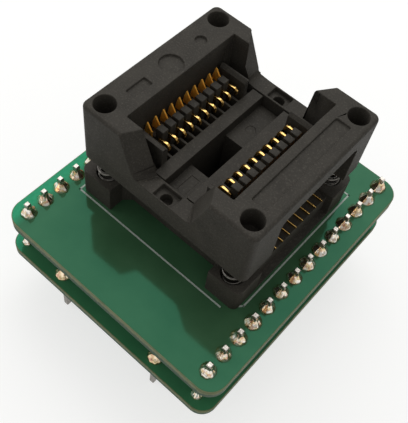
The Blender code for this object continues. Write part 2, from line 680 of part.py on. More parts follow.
def base_cutters(bm):
    top = GUIDE_TOP + CUT_BEYOND
    trough_cutters(bm, top)
    radius = spring_pocket_radius()
    slot_beyond = WINDOW_HALF_X + CUT_BEYOND / 2
    half_y = SLOT_WIDTH / 2
    for side in (-1, 1):
        add_prism(bm, bay_outline(side), BAY_FLOOR, top)
        slot_ends = sorted((side * FINGER_END, side * slot_beyond))
        for index, y in enumerate(row_positions(CONTACTS_PER_ROW, CONTACT_PITCH)):
            add_box(bm, (slot_ends[0], y - half_y, DECK_TOP), (slot_ends[1], y + half_y, top))
            x = side * tail_x(index)
            half_x = TAIL_WIDTH / 2 + HOLE_CLEARANCE
            low = (x - half_x, y - half_y, -CUT_BEYOND)
            add_box(bm, low, (x + half_x, y + half_y, DECK_TOP + CUT_BEYOND / 4))
        for end in (-1, 1):
            seat = (side * SPRING_CENTRE.x, end * SPRING_CENTRE.y)
            add_cone(bm, seat, FOOT_TOP - FOOT_POCKET_DEPTH, FOOT_TOP + CUT_BEYOND, radius, radius)


def make_base(plastic, parts, cutters, socket):
    bm = bmesh.new()
    add_box(bm, (-DECK_HALF_X, -DECK_HALF_Y, 0), (DECK_HALF_X, DECK_HALF_Y, DECK_TOP))
    base = make_object(bm, "socket_base", parts, plastic, socket, (0, 0, NO_GAP))
    bm = bmesh.new()
    base_shapes(bm)
    helper = make_object(bm, "base shapes", cutters, plastic, socket, (0, 0, NO_GAP))
    combine(base, helper, "UNION")
    bm = bmesh.new()
    base_cutters(bm)
    combine(base, make_object(bm, "base slots", cutters, None, socket, (0, 0, NO_GAP)), "DIFFERENCE")


def contact_outline(tail):
    """A contact's side as (distance from the socket's middle, height above the upper board)."""
    seat = DECK_TOP + NO_GAP + CONTACT_SEAT
    body_top = seat + BODY_HEIGHT
    hook = (TIP_X, TIP_Z - TIP_RADIUS)
    arm_top = TIP_X + ARM_TOP_OUT
    arm_top_z = TIP_Z - ARM_TOP_BELOW
    arm_foot = TIP_X + ARM_FOOT_OUT
    spike_z = FIN_TOP - FIN_SPIKE_HEIGHT
    stem_inner = FIN_INNER + STEM_INSET_INNER
    stem_outer = FIN_OUTER - STEM_INSET_OUTER
    tail_bottom = -UPPER_THICKNESS - TAIL_BELOW_BOARD
    points = arc(hook, TIP_RADIUS, TIP_END_ANGLE, 90, ROUND_STEPS)
    points += [(arm_top, arm_top_z), (arm_foot + ARM_HEEL, body_top)]
    points += [(stem_inner, body_top), (stem_inner, FIN_BLADE_BOTTOM)]
    points += [(FIN_INNER, FIN_BLADE_BOTTOM + FIN_SHOULDER), (FIN_INNER, spike_z - FIN_STEP)]
    points += [(FIN_OUTER - FIN_SPIKE_WIDTH, spike_z), (FIN_OUTER - FIN_TIP_WIDTH, FIN_TOP)]
    points += [(FIN_OUTER, FIN_TOP), (FIN_OUTER + FIN_FLARE, FIN_TOP - FIN_FLARE_BELOW)]
    points += [(stem_outer, FIN_BLADE_BOTTOM - FIN_SHOULDER), (stem_outer, body_top)]
    points += [(stem_outer + TOE_SLOPE, seat + ARM_HEIGHT), (ARM_END, seat + ARM_HEIGHT), (ARM_END, seat)]
    points += [(tail + TAIL_WIDTH / 2, seat), (tail + TAIL_WIDTH / 2, tail_bottom)]
    points += [(tail - TAIL_WIDTH / 2, tail_bottom), (tail - TAIL_WIDTH / 2, seat)]
    points += [(arm_foot - ARM_HEEL, seat), (arm_foot + ARM_HEEL - ARM_FOOT_WIDTH, body_top)]
    points += [(arm_top - ARM_TOP_WIDTH, arm_top_z - TIP_BAND)]
    points += arc(hook, TIP_RADIUS - TIP_BAND, 90, TIP_END_ANGLE, SMALL_ROUND_STEPS)
    return points


def make_contacts(gold, parts, socket):
    for side, row in ((-1, "left"), (1, "right")):
        for index, y in enumerate(row_positions(CONTACTS_PER_ROW, CONTACT_PITCH)):
            outline = [(side * x, z) for x, z in contact_outline(tail_x(index))]
            bm = bmesh.new()
            add_prism(bm, outline, -CONTACT_THICKNESS / 2, CONTACT_THICKNESS / 2, "Y")
            make_object(bm, f"{row}_contact_{index + 1:02}", parts, gold, socket, (0, y, 0))


def make_springs(steel, parts, socket):
    """Coil springs between the pockets of the feet and those of the cover."""
    floor = FOOT_TOP - FOOT_POCKET_DEPTH + 2 * NO_GAP
    ceiling = COVER_BOTTOM + COVER_POCKET_DEPTH - NO_GAP
    rise = ceiling - floor - SPRING_WIRE
    count = SPRING_TURNS * SPRING_STEPS
    for side, across in ((-1, "left"), (1, "right")):
        for end, along in ((-1, "front"), (1, "rear")):
            name = f"spring_{along}_{across}"
            wire = bpy.data.curves.new(name, "CURVE")
            wire.dimensions = "3D"
            wire.bevel_depth = SPRING_WIRE / 2
            wire.bevel_resolution = 1
            wire.use_fill_caps = True
            spline = wire.splines.new("POLY")
            spline.points.add(count)
            for i, point in enumerate(spline.points):
                angle = 2 * math.pi * i / SPRING_STEPS
                x = SPRING_RADIUS * math.cos(angle)
                y = SPRING_RADIUS * math.sin(angle)
                z = SPRING_WIRE / 2 + rise * i / count
                point.co = (x, y, z, 1)
            wire.materials.append(steel)
            spring = bpy.data.objects.new(name, wire)
            spring.parent = socket
            spring.location = (side * SPRING_CENTRE.x, end * SPRING_CENTRE.y, floor)
            parts.objects.link(spring)


def main():
    clear_scene()
    parts = collection("IC programming adapter")
    cutters = collection("Cutters", visible=False)
    mask = material("green solder mask", (0.012, 0.20, 0.085), 0.25)
    moulding = material("black moulded plastic", (0.022, 0.019, 0.016), 0.55)
    tin = material("solder and tinned pins", (0.55, 0.50, 0.45), 0.3, 1.0)
    gold = material("gold plating", (0.83, 0.50, 0.16), 0.25, 1.0)
    steel = material("spring steel", (0.45, 0.44, 0.42), 0.3, 1.0)
    socket = bpy.data.objects.new("socket origin", None)
    socket.location = (SOCKET_CENTRE.x, SOCKET_CENTRE.y, UPPER_TOP)
    parts.objects.link(socket)

    make_boards(mask, parts, cutters)
    make_header("header_left", -1, moulding, tin, parts, cutters)
    make_header("header_right", 1, moulding, tin, parts, cutters)
    make_dip_pins(tin, parts, cutters)
    make_base(moulding, parts, cutters, socket)
    make_contacts(gold, parts, socket)
    make_springs(steel, parts, socket)
    make_cover(moulding, parts, cutters, socket)


main()
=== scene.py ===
"""Looks of the IC programming adapter: an open-top test socket on two stacked circuit boards."""

import math
import random

import bmesh
import bpy
from mathutils import Matrix, Vector, noise


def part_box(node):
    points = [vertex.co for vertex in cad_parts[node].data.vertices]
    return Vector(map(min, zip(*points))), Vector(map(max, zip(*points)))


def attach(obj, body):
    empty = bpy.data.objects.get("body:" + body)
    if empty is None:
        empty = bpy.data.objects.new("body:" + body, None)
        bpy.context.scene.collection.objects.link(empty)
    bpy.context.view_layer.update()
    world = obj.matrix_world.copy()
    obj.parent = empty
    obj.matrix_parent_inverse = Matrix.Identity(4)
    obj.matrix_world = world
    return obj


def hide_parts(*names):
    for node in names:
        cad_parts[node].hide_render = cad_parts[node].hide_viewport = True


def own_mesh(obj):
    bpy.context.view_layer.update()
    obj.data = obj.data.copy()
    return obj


MM = 0.001
NO_GAP = 0.02 * MM
# How far a cut runs past the face that it opens, and how deep joined shapes overlap
BEYOND = 1.0 * MM

# Mesh resolution
ARC_STEPS = 10
RECTANGLE_STEPS = 12
BOARD_CORNER_STEPS = 16
PIN_CORNER_STEPS = 3
CYLINDER_SIDES = 40
WIDE_CYLINDER_SIDES = 56
SADDLE_STEPS = 5
COVER_EDGE_SEGMENTS = 5
TIP_STEPS = 14
SPRING_SIDES = 10
SPRING_STEPS = 28
SOLDER_SIDES = 40
WELD_DISTANCE = 0.002 * MM
FLAT_ANGLE = 0.5

# Camera
CAMERA_TARGET = Vector((0.316, -1.393, 14.1)) * MM
CAMERA_DISTANCE = 85.083 * MM
CAMERA_AZIMUTH = math.radians(32.162)
CAMERA_ELEVATION = math.radians(57.599)
CAMERA_ROLL = math.radians(10.664)
CAMERA_LENS = 60.03
SENSOR_WIDTH = 36
CLIP_START = 5 * MM
CLIP_END = 5000 * MM

# Pins, boards and solder
PITCH = 2.54 * MM
PINS_PER_ROW = 14
HEADER_ROW_SPACING = 27.94 * MM
DIP_ROW_SPACING = 15.24 * MM
PIN_ROWS_CENTRE = Vector((-0.27, 0.495)) * MM
LOWER_ROWS_SHIFT = -1.0 * MM
PIN_SIDE = 0.64 * MM
PIN_EDGE = 0.07 * MM
HEADER_PIN_CUT = 0.14 * MM
HEADER_PIN_CUT_SHARE = 0.72
HEADER_PIN_TIP = 0.3 * MM
HEADER_PIN_TIP_SHARE = 0.5
DIP_PIN_TOP = 0.2 * MM
DIP_PIN_TOP_SHARE = 0.5
DIP_PIN_TIP = 0.35 * MM
DIP_PIN_TIP_SHARE = 0.45
UPPER_CORNER = 2.3 * MM
LOWER_CORNER = 2.0 * MM
MASK_THICKNESS = 0.03 * MM
MASK_INSET = 0.1 * MM
BOARD_ROUNDING = 0.04 * MM
# The mask's distances from the left edge where its paler zone starts and stops to fade
PALE_MASK_TO = 1.2 * MM
COPPER_FROM = 2.6 * MM
SOLDER_RADIUS = 1.01 * MM
SOLDER_HEIGHT = 1.3 * MM
SOLDER_RIDGE = 0.055
SOLDER_FEWEST_RIDGES = 7
SOLDER_RIDGE_KINDS = 3
SOLDER_LUMP = 0.10
SOLDER_LUMP_ACROSS = 1.3
SOLDER_LUMP_ALONG = 1.5
SOLDER_SWELL_FROM = 0.12
SOLDER_SINK = 0.01 * MM
SMALL_JOINT_SHARE = 0.72
SEED_STEP = Vector((7.31, 3.17, 0))
LARGEST_SEED = 100
HEADER_SEED = 11
HEADER_JOINT_RADII = (0.95, 1.04)
HEADER_JOINT_HEIGHTS = (0.9, 1.08)
DIP_SEED = 5
DIP_JOINT_HEIGHTS = (0.85, 1.0)
STRIP_WIDTH = 2.5 * MM
STRIP_HEIGHT = 2.5 * MM
STRIP_NOTCH = 0.45 * MM
STRIP_ROUNDING = 0.08 * MM
HEADER_PIN_ABOVE = 1.9 * MM
HEADER_PIN_BELOW = 1.0 * MM
DIP_PIN_ABOVE = 1.0 * MM

# Socket, with heights above the upper board
CONTACT_PITCH = 1.27 * MM
CONTACTS_PER_ROW = 10
RUNNING_GAP = 0.15 * MM
COVER_HALF = Vector((11.75, 10.85)) * MM
COVER_CORNER = 0.85 * MM
COVER_EDGE = 0.45 * MM
COVER_ROUNDING = 0.1 * MM
COVER_BOTTOM = 6.9 * MM
COVER_TOP = 15.6 * MM
WINDOW_HALF = Vector((7.15, 8.6)) * MM
SADDLE_TOP = 9.85 * MM
SADDLE_FILLET = 0.8 * MM
# Half widths of a saddle at the window and at its end: its flat, the foot of its sides and their top
FRONT_SADDLE = (Vector((2.4, 2.8, 4.8)) * MM, Vector((3.4, 4.3, 6.1)) * MM)
REAR_SADDLE = (Vector((3.2, 4.1, 4.8)) * MM, Vector((3.2, 4.3, 6.1)) * MM)
BAR_BOTTOM = 13.25 * MM
LIP_BOTTOM = 9.6 * MM
LIP_INNER = 7.4 * MM
LIP_OUTER = 8.2 * MM
RELIEF_ABOVE = 1.35 * MM
RELIEF_BELOW = 0.25 * MM
SIDE_OPENING_FRONT = -5.95 * MM
SIDE_OPENING_REAR = 7.45 * MM
SIDE_OPENING_CORNER = 1.0 * MM
CORNER_HOLE = Vector((9.9, 9.02)) * MM
CORNER_HOLE_RADIUS = 1.25 * MM
CORNER_HOLE_DEPTH = 3.0 * MM
RECESS_DEPTH = 0.3 * MM
LONG_RECESS_CENTRE = Vector((9.24, -0.1)) * MM
LONG_RECESS_HALF = Vector((0.94, 7.2)) * MM
SHORT_RECESS_CENTRE = Vector((-9.03, -4.86)) * MM
SHORT_RECESS_HALF = Vector((0.62, 1.4)) * MM
ROUND_RECESS_CENTRE = Vector((-8.97, 0.05)) * MM
ROUND_RECESS_RADIUS = 1.4 * MM
SMALL_RECESS_CENTRE = Vector((-9.08, 5.06)) * MM
SMALL_RECESS_RADIUS = 0.7 * MM
SADDLE_POCKET_HALF = Vector((1.32, 0.88)) * MM
SADDLE_POCKET_DEPTH = 0.65 * MM
SADDLE_POCKET_RIM = 0.22 * MM
FRONT_SADDLE_HOLE_Y = 9.88 * MM
REAR_SADDLE_HOLE_Y = 9.62 * MM
SADDLE_HOLE_RADIUS = 0.7 * MM
SADDLE_HOLE_DEPTH = 1.2 * MM
BASE_ROUNDING = 0.05 * MM
FLANGE_HEIGHT = 0.5 * MM
DECK_HALF = Vector((10.9, 8.05)) * MM
DECK_TOP = 3.4 * MM
PLATFORM_TOP = 9.75 * MM
COMB_INNER = 4.75 * MM
COMB_OUTER = 5.8 * MM
COMB_TOP = 12.2 * MM
COMB_HALF_LENGTH = 5.715 * MM
BACK_TOP = 10.6 * MM
GUIDE_INNER = 3.1 * MM
FRONT_GUIDE_OUTER = 7.35 * MM
REAR_GUIDE_OUTER = 7.1 * MM
GUIDE_TOP = 12.3 * MM
NEST_HALF_LENGTH = 6.5 * MM
LEAD_IN = 0.4 * MM
BAY_INNER = 3.15 * MM
BAY_FLOOR = 6.5 * MM
END_ROOM_FLOOR = 8.7 * MM
FINGER_END = 4.3 * MM
FINGER_WIDTH = 0.3 * MM
SLOT_WIDTH = 0.38 * MM
TROUGH_HALF = 1.55 * MM
TROUGH_FLOOR = 8.2 * MM
PIT_FRONT = -4.0 * MM
PIT_REAR = 1.87 * MM
PIT_FLOOR = 1.5 * MM
MARK_DEPTH = 0.08 * MM
FRONT_MARK_HALF = Vector((0.58, 1.25)) * MM
FRONT_MARK_Y = -6.3 * MM
REAR_MARK_Y = 4.6 * MM
REAR_MARK_RADIUS = 0.6 * MM
FOOT_INNER_X = 7.4 * MM
FOOT_INNER_Y = 6.75 * MM
FOOT_NOTCH_Y = 8.98 * MM
FOOT_TOP = 4.0 * MM
LEFT_FOOT_OVERHANG = Vector((0.35, 0.15)) * MM
FOOT_POCKET_DEPTH = 1.0 * MM
COVER_POCKET_DEPTH = 1.2 * MM
SPRING_CENTRE = Vector((9.5, 9.05)) * MM
SPRING_RADIUS = 1.15 * MM
SPRING_WIRE = 0.4 * MM
SPRING_TURNS = 4.75
SPRING_CLOSED_TURNS = 0.75
SPRING_CLOSED_RISE = 0.95 * SPRING_WIRE * SPRING_CLOSED_TURNS
SPRING_CLEARANCE = 0.1 * MM
CONTACT_THICKNESS = 0.2 * MM
CONTACT_SEAT = 0.05 * MM
CONTACT_ROUNDING = 0.035 * MM
TIP_X = 4.05 * MM
TIP_Z = 11.45 * MM
TIP_RADIUS = 0.62 * MM
TIP_BAND = 0.34 * MM
TIP_END_ANGLE = 215
ARM_TOP_OUT = 1.1 * MM
ARM_TOP_BELOW = 0.13 * MM
ARM_TOP_WIDTH = 0.55 * MM
ARM_FOOT_OUT = 1.3 * MM
ARM_FOOT_WIDTH = 0.7 * MM
ARM_HEEL = 0.1 * MM
FIN_INNER = 6.1 * MM
FIN_OUTER = 7.02 * MM
FIN_TOP = 12.4 * MM
FIN_TIP_WIDTH = 0.1 * MM
FIN_TIP_INSET = 0.1 * MM
FIN_SHOULDER_INSET = 0.15 * MM
FIN_SPIKE_HEIGHT = 0.85 * MM
FIN_STEP = 0.12 * MM
TIP_WIDENING = 1.5
STEM_NARROWING = 0.6
TIP_WIDE_TO = 4.9 * MM
FIN_CHEEK = 0.1 * MM
FIN_FLARE = 0.25 * MM
FIN_FLARE_BELOW = 1.8 * MM
FIN_BLADE_BOTTOM = 9.7 * MM
FIN_SHOULDER = 0.5 * MM
STEM_INSET_INNER = 0.4 * MM
STEM_INSET_OUTER = 0.1 * MM
TOE_SLOPE = 1.0 * MM
ARM_END = 10.95 * MM
ARM_HEIGHT = 0.32 * MM
BODY_HEIGHT = 1.05 * MM
TAIL_WIDTH = 0.5 * MM
TAIL_INNER = 7.45 * MM
TAIL_STAGGER = 2.0 * MM
TAIL_BELOW_BOARD = 1.0 * MM

# Print on the upper board
OUTLINE_HALF = Vector((12.09, 11.41)) * MM
OUTLINE_WIDTH = 0.2 * MM
OUTLINE_CHAMFER = 1.9 * MM
PRINT_TICK = 0.35 * MM
PRINT_THICKNESS = 0.02 * MM

# Looks
SPECKLE_GAIN = 1.5

# Stage
FLOOR_HALF = 600 * MM
FLOOR_DEPTH = 10 * MM
FLOOR_GAP = 0.1 * MM
FLOOR_COLOUR = (0.45, 0.45, 0.44, 1)
FLOOR_GLOW = 0.66
WORLD_COLOUR = (1.0, 1.0, 0.98, 1)
WORLD_LIGHT = 0.42
WORLD_SEEN = 1.0
# Each light's name, place, size and power, in metres and watts
LIGHTS = (
    ("overhead softbox", (-0.09, 0.14, 0.28), (0.26, 0.26), 0.42),
    ("left fill", (-0.30, -0.12, 0.16), (0.16, 0.2), 0.12),
)

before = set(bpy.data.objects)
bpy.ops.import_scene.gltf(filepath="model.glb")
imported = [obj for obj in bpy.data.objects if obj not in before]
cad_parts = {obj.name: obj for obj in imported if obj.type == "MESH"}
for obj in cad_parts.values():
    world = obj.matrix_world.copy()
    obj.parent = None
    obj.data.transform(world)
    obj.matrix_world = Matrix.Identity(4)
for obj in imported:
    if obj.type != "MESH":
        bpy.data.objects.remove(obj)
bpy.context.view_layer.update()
upper_low, upper_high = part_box("upper_board")
lower_low, lower_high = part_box("lower_board")
cover_low, cover_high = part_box("cover")
UPPER_TOP = upper_high.z
SOCKET = Vector(((cover_low.x + cover_high.x) / 2, (cover_low.y + cover_high.y) / 2, UPPER_TOP))


# Meshes


def new_object(bm, name):
    bmesh.ops.recalc_face_normals(bm, faces=bm.faces)
    mesh = bpy.data.meshes.new(name)
    bm.to_mesh(mesh)
    bm.free()
    obj = bpy.data.objects.new(name, mesh)
    bpy.context.scene.collection.objects.link(obj)
    return obj


def freeze(obj):
    """Applies the object's modifiers."""
    graph = bpy.context.evaluated_depsgraph_get()
    mesh = bpy.data.meshes.new_from_object(
        obj.evaluated_get(graph), preserve_all_data_layers=True, depsgraph=graph
    )
    obj.modifiers.clear()
    obj.data = mesh


def combine(obj, bm, operation="DIFFERENCE"):
    other = new_object(bm, "helper")
    modifier = obj.modifiers.new("combine", "BOOLEAN")
    modifier.operation = operation
    modifier.solver = "EXACT"
    modifier.use_self = True
    modifier.object = other
    freeze(obj)
    bpy.data.objects.remove(other)


def round_edges(obj, width, segments=2, angle=30):
    """Merges flat faces, then rounds each edge that is sharper than the angle."""
    bm = bmesh.new()
    bm.from_mesh(obj.data)
    bmesh.ops.remove_doubles(bm, verts=bm.verts, dist=WELD_DISTANCE)
    bmesh.ops.dissolve_limit(bm, angle_limit=math.radians(FLAT_ANGLE), verts=bm.verts, edges=bm.edges)
    bm.to_mesh(obj.data)
    bm.free()
    modifier = obj.modifiers.new("edges", "BEVEL")
    modifier.width = width
    modifier.segments = segments
    modifier.limit_method = "ANGLE"
    modifier.angle_limit = math.radians(angle)
    modifier.use_clamp_overlap = False
    modifier.miter_outer = "MITER_ARC"
    freeze(obj)


def smooth(obj, angle=50):
    obj.data.shade_smooth()
    obj.data.set_sharp_from_angle(angle=math.radians(angle))
    modifier = obj.modifiers.new("normals", "WEIGHTED_NORMAL")
    modifier.keep_sharp = True
    freeze(obj)


def piece(obj, body, surfaces, nodes=()):
    """Dresses an object, lets it ride on a body and stand for CAD nodes."""
    for surface in surfaces:
        obj.data.materials.append(surface)
    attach(obj, body)
    if nodes:
        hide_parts(*nodes)


def arc(centre, radius, start, end, steps=ARC_STEPS):
    angles = [math.radians(start + (end - start) * i / steps) for i in range(steps + 1)]
    return [(centre[0] + radius * math.cos(a), centre[1] + radius * math.sin(a)) for a in angles]


def rounded_rectangle(half, radius, steps=RECTANGLE_STEPS):
    inner_x = half[0] - radius
    inner_y = half[1] - radius
    corners = [(inner_x, inner_y), (-inner_x, inner_y), (-inner_x, -inner_y), (inner_x, -inner_y)]
    points = []
    for turn, middle in enumerate(corners):
        points += arc(middle, radius, 90 * turn, 90 * turn + 90, steps)
    return points


def add_prism(bm, outline, start, end, axis="Z"):
    """Extrudes a flat outline. Its points are (x, y) along Z, (y, z) along X and (x, z) along Y."""
    place = {
        "Z": lambda a, b: (a, b, start),
        "X": lambda a, b: (start, a, b),
        "Y": lambda a, b: (a, start, b),
    }[axis]
    face = bm.faces.new([bm.verts.new(place(a, b)) for a, b in outline])
    pushed = bmesh.ops.extrude_face_region(bm, geom=[face])["geom"]
    offset = Vector([end - start if name == axis else 0 for name in "XYZ"])
    verts = [item for item in pushed if isinstance(item, bmesh.types.BMVert)]
    bmesh.ops.translate(bm, verts=verts, vec=offset)


def add_box(bm, near, far):
    """A box between two opposite corners."""
    low = Vector([min(pair) for pair in zip(near, far)])
    high = Vector([max(pair) for pair in zip(near, far)])
    place = Matrix.Translation((low + high) / 2) @ Matrix.Diagonal((*(high - low), 1))
    bmesh.ops.create_cube(bm, size=1, matrix=place)


def add_cylinder(bm, centre, bottom, top, radius, sides=CYLINDER_SIDES):
    place = Matrix.Translation((centre[0], centre[1], (bottom + top) / 2))
    bmesh.ops.create_cone(
        bm, cap_ends=True, segments=sides, radius1=radius, radius2=radius,
        depth=top - bottom, matrix=place,
    )


def add_loft(bm, near, far):
    rings = [[bm.verts.new(point) for point in ring] for ring in (near, far)]
    edges = []
    for ring in rings:
        face = bm.faces.new(ring)
        edges += face.edges
    bmesh.ops.bridge_loops(bm, edges=edges)


def add_sweep(bm, rings, material=0):
    """Skins a list of rings of points and caps both ends."""
    rings = [[bm.verts.new(point) for point in ring] for ring in rings]
    count = len(rings[0])
    made = [bm.faces.new(reversed(rings[0])), bm.faces.new(rings[-1])]
    for low, high in zip(rings, rings[1:]):
        for i in range(count):
            j = (i + 1) % count
            made.append(bm.faces.new((low[i], low[j], high[j], high[i])))
    for face in made:
        face.material_index = material


def row_positions(count, pitch):
    return [(i - (count - 1) / 2) * pitch for i in range(count)]


# Materials


class Surface:
    """A procedural material around one Principled BSDF."""

    def __init__(self, name, roughness, metallic=0.0, **sockets):
        self.material = bpy.data.materials.new(name)
        self.material.use_nodes = True
        self.tree = self.material.node_tree
        self.shader = self.tree.nodes["Principled BSDF"]
        self.shader.inputs["Roughness"].default_value = roughness
        self.shader.inputs["Metallic"].default_value = metallic
        for socket, value in sockets.items():
            self.shader.inputs[socket.replace("_", " ")].default_value = value
        self.place = self.node("ShaderNodeTexCoord").outputs["Object"]
        self.height = None

    def node(self, kind, **values):
        made = self.tree.nodes.new(kind)
        for name, value in values.items():
            setattr(made, name, value)
        return made

    def link(self, start, end):
        self.tree.links.new(start, end)

    def noise(self, size, detail=3.0, stretch=(1, 1, 1)):
        """A noise whose features are about this size."""
        mapping = self.node("ShaderNodeMapping")
        mapping.inputs["Scale"].default_value = stretch
        self.link(self.place, mapping.inputs["Vector"])
        made = self.node("ShaderNodeTexNoise")
        made.inputs["Scale"].default_value = 1 / size
        made.inputs["Detail"].default_value = detail
        made.inputs["Roughness"].default_value = 0.55
        self.link(mapping.outputs["Vector"], made.inputs["Vector"])
        return made.outputs["Fac"]

    def remap(self, value, low, high, to_low, to_high):
        made = self.node("ShaderNodeMapRange")
        for name, number in (
            ("From Min", low), ("From Max", high), ("To Min", to_low), ("To Max", to_high),
        ):
            made.inputs[name].default_value = number
        self.link(value, made.inputs["Value"])
        return made.outputs["Result"]

    def mix(self, factor, first, second):
        made = self.node("ShaderNodeMix", data_type="RGBA")
        self.link(factor, made.inputs["Factor"])
        for name, value in (("A", first), ("B", second)):
            socket = next(s for s in made.inputs if s.name == name and s.type == "RGBA")
            if isinstance(value, tuple):
                socket.default_value = (*value, 1)
            else:
                self.link(value, socket)
        return next(s for s in made.outputs if s.type == "RGBA")

    def math(self, operation, first, second):
        made = self.node("ShaderNodeMath", operation=operation)
        for socket, value in zip(made.inputs, (first, second)):
            if isinstance(value, (int, float)):
                socket.default_value = value
            else:
                self.link(value, socket)
        return made.outputs["Value"]

    def colour(self, value):
        self.link(value, self.shader.inputs["Base Color"])

    def rough(self, value):
        self.link(value, self.shader.inputs["Roughness"])

    def bump(self, value, distance, strength=1.0):
        made = self.node("ShaderNodeBump")
        made.inputs["Strength"].default_value = strength
        made.inputs["Distance"].default_value = distance
        self.link(value, made.inputs["Height"])
        if self.height:
            self.link(self.height, made.inputs["Normal"])
        self.height = made.outputs["Normal"]
        self.link(self.height, self.shader.inputs["Normal"])


def moulded_plastic(name, dark, pale, roughness, specular):
    made = Surface(name, roughness, Specular_IOR_Level=specular)
    cloud = made.remap(made.noise(2.5 * MM, 4), 0.3, 0.7, 0, 1)
    speckle = made.remap(made.noise(0.2 * MM, 2), 0.52, 0.75, 0, 1)
    speck = tuple(SPECKLE_GAIN * value for value in pale)
    made.colour(made.mix(speckle, made.mix(cloud, dark, pale), speck))
    grain = made.noise(0.13 * MM, 2)
    made.rough(made.remap(grain, 0.3, 0.7, roughness - 0.08, roughness + 0.1))
    made.bump(grain, 0.012 * MM)
    made.bump(made.noise(1.1 * MM, 2), 0.02 * MM, 0.5)
    return made.material


def solder_mask(name, low, dark, pale):
    """Green mask, paler where there is no copper under it, along the board's left edge."""
    made = Surface(name, 0.09, Specular_IOR_Level=0.34, Specular_Tint=(0.16, 1.0, 0.62, 1))
    split = made.node("ShaderNodeSeparateXYZ")
    made.link(made.place, split.inputs["Vector"])
    edge = made.remap(split.outputs["X"], low.x + PALE_MASK_TO, low.x + COPPER_FROM, 1, 0)
    cloud = made.remap(made.noise(5 * MM, 4), 0.3, 0.7, 0, 1)
    inner = made.mix(cloud, dark, pale)
    weave = made.remap(made.noise(0.4 * MM, 2), 0.35, 0.65, 0, 1)
    outer = made.mix(weave, (0.026, 0.27, 0.13), (0.034, 0.32, 0.155))
    made.colour(made.mix(edge, inner, outer))
    made.bump(made.noise(3 * MM, 2), 0.01 * MM, 0.5)
    made.bump(made.noise(0.5 * MM, 2), 0.0015 * MM, 0.5)
    return made.material


def board_edge(name, low, high):
    """Glass laminate on a board's routed edge: pale in its upper part, darker green towards the bottom.
    """
    made = Surface(name, 0.65)
    split = made.node("ShaderNodeSeparateXYZ")
    made.link(made.place, split.inputs["Vector"])
    depth = made.remap(split.outputs["Z"], low.z, high.z, 0, 1)
    ragged = made.remap(made.noise(0.35 * MM, 3, stretch=(1, 1, 0.2)), 0.3, 0.7, -0.12, 0.12)
    depth = made.math("ADD", depth, ragged)
    layers = made.remap(made.noise(0.5 * MM, 3, stretch=(0.5, 0.5, 4)), 0.3, 0.7, 0, 1)
    pale = made.mix(layers, (0.15, 0.19, 0.09), (0.27, 0.28, 0.14))
    made.colour(made.mix(made.remap(depth, 0.42, 0.6, 0, 1), (0.022, 0.07, 0.03), pale))
    made.bump(made.noise(0.12 * MM, 3), 0.03 * MM)
    return made.material


def metal(name, dark, pale, roughness, spot, grain=0.01 * MM):
    made = Surface(name, roughness, 1.0)
    cloud = made.remap(made.noise(spot, 3), 0.35, 0.65, 0, 1)
    made.colour(made.mix(cloud, dark, pale))
    made.rough(made.remap(cloud, 0, 1, roughness + 0.12, roughness))
    made.bump(made.noise(spot / 2, 3), grain)
    return made.material


def solder_metal(name, clean, stain_from):
    """Bright solder with flux-tinted patches wherever its noise is below the given value."""
    made = Surface(name, 0.12, 1.0)
    patch = made.remap(made.noise(0.55 * MM, 2), stain_from, stain_from + 0.18, 0, 1)
    spot = made.remap(made.noise(0.3 * MM, 2), 0.42, 0.58, 0, 1)
    warm = made.mix(spot, (0.62, 0.36, 0.26), (0.80, 0.66, 0.36))
    made.colour(made.mix(patch, warm, clean))
    made.rough(made.remap(spot, 0, 1, 0.1, 0.2))
    made.bump(made.noise(0.4 * MM, 2), 0.01 * MM)
    return made.material


def contact_gold(name):
    """Gold plate on the tips; on the blades behind the comb, painted light: a lighter orange, less
    metallic and rougher, that shows them lit.
    """
    made = Surface(name, 0.2, 1.0)
    split = made.node("ShaderNodeSeparateXYZ")
    made.link(made.place, split.inputs["Vector"])
    fade = 0.2 * MM
    distance = made.math("ABSOLUTE", split.outputs["X"], 0)
    out = made.remap(distance, COMB_OUTER - fade, COMB_OUTER, 0, 1)
    up = made.remap(split.outputs["Z"], FIN_BLADE_BOTTOM - fade, FIN_BLADE_BOTTOM, 0, 1)
    blade = made.math("MULTIPLY", out, up)
    cloud = made.remap(made.noise(0.3 * MM, 3), 0.35, 0.65, 0, 1)
    bright = made.mix(cloud, (0.80, 0.47, 0.13), (0.97, 0.66, 0.25))
    # Painted light: the blades' lighter orange stands in for light falling on them
    blade_painted_light = made.mix(cloud, (0.95, 0.38, 0.03), (1.0, 0.55, 0.09))
    made.colour(made.mix(blade, bright, blade_painted_light))
    made.rough(made.remap(blade, 0, 1, 0.2, 0.6))
    made.link(made.remap(blade, 0, 1, 1.0, 0.35), made.shader.inputs["Metallic"])
    made.bump(made.noise(0.15 * MM, 3), 0.004 * MM)
    return made.material


def printed_ink(name):
    made = Surface(name, 0.6)
    wear = made.remap(made.noise(0.15 * MM, 3), 0.3, 0.6, 0, 1)
    made.colour(made.mix(wear, (0.30, 0.36, 0.31), (0.52, 0.58, 0.53)))
    made.bump(made.noise(0.1 * MM, 2), 0.005 * MM)
    return made.material


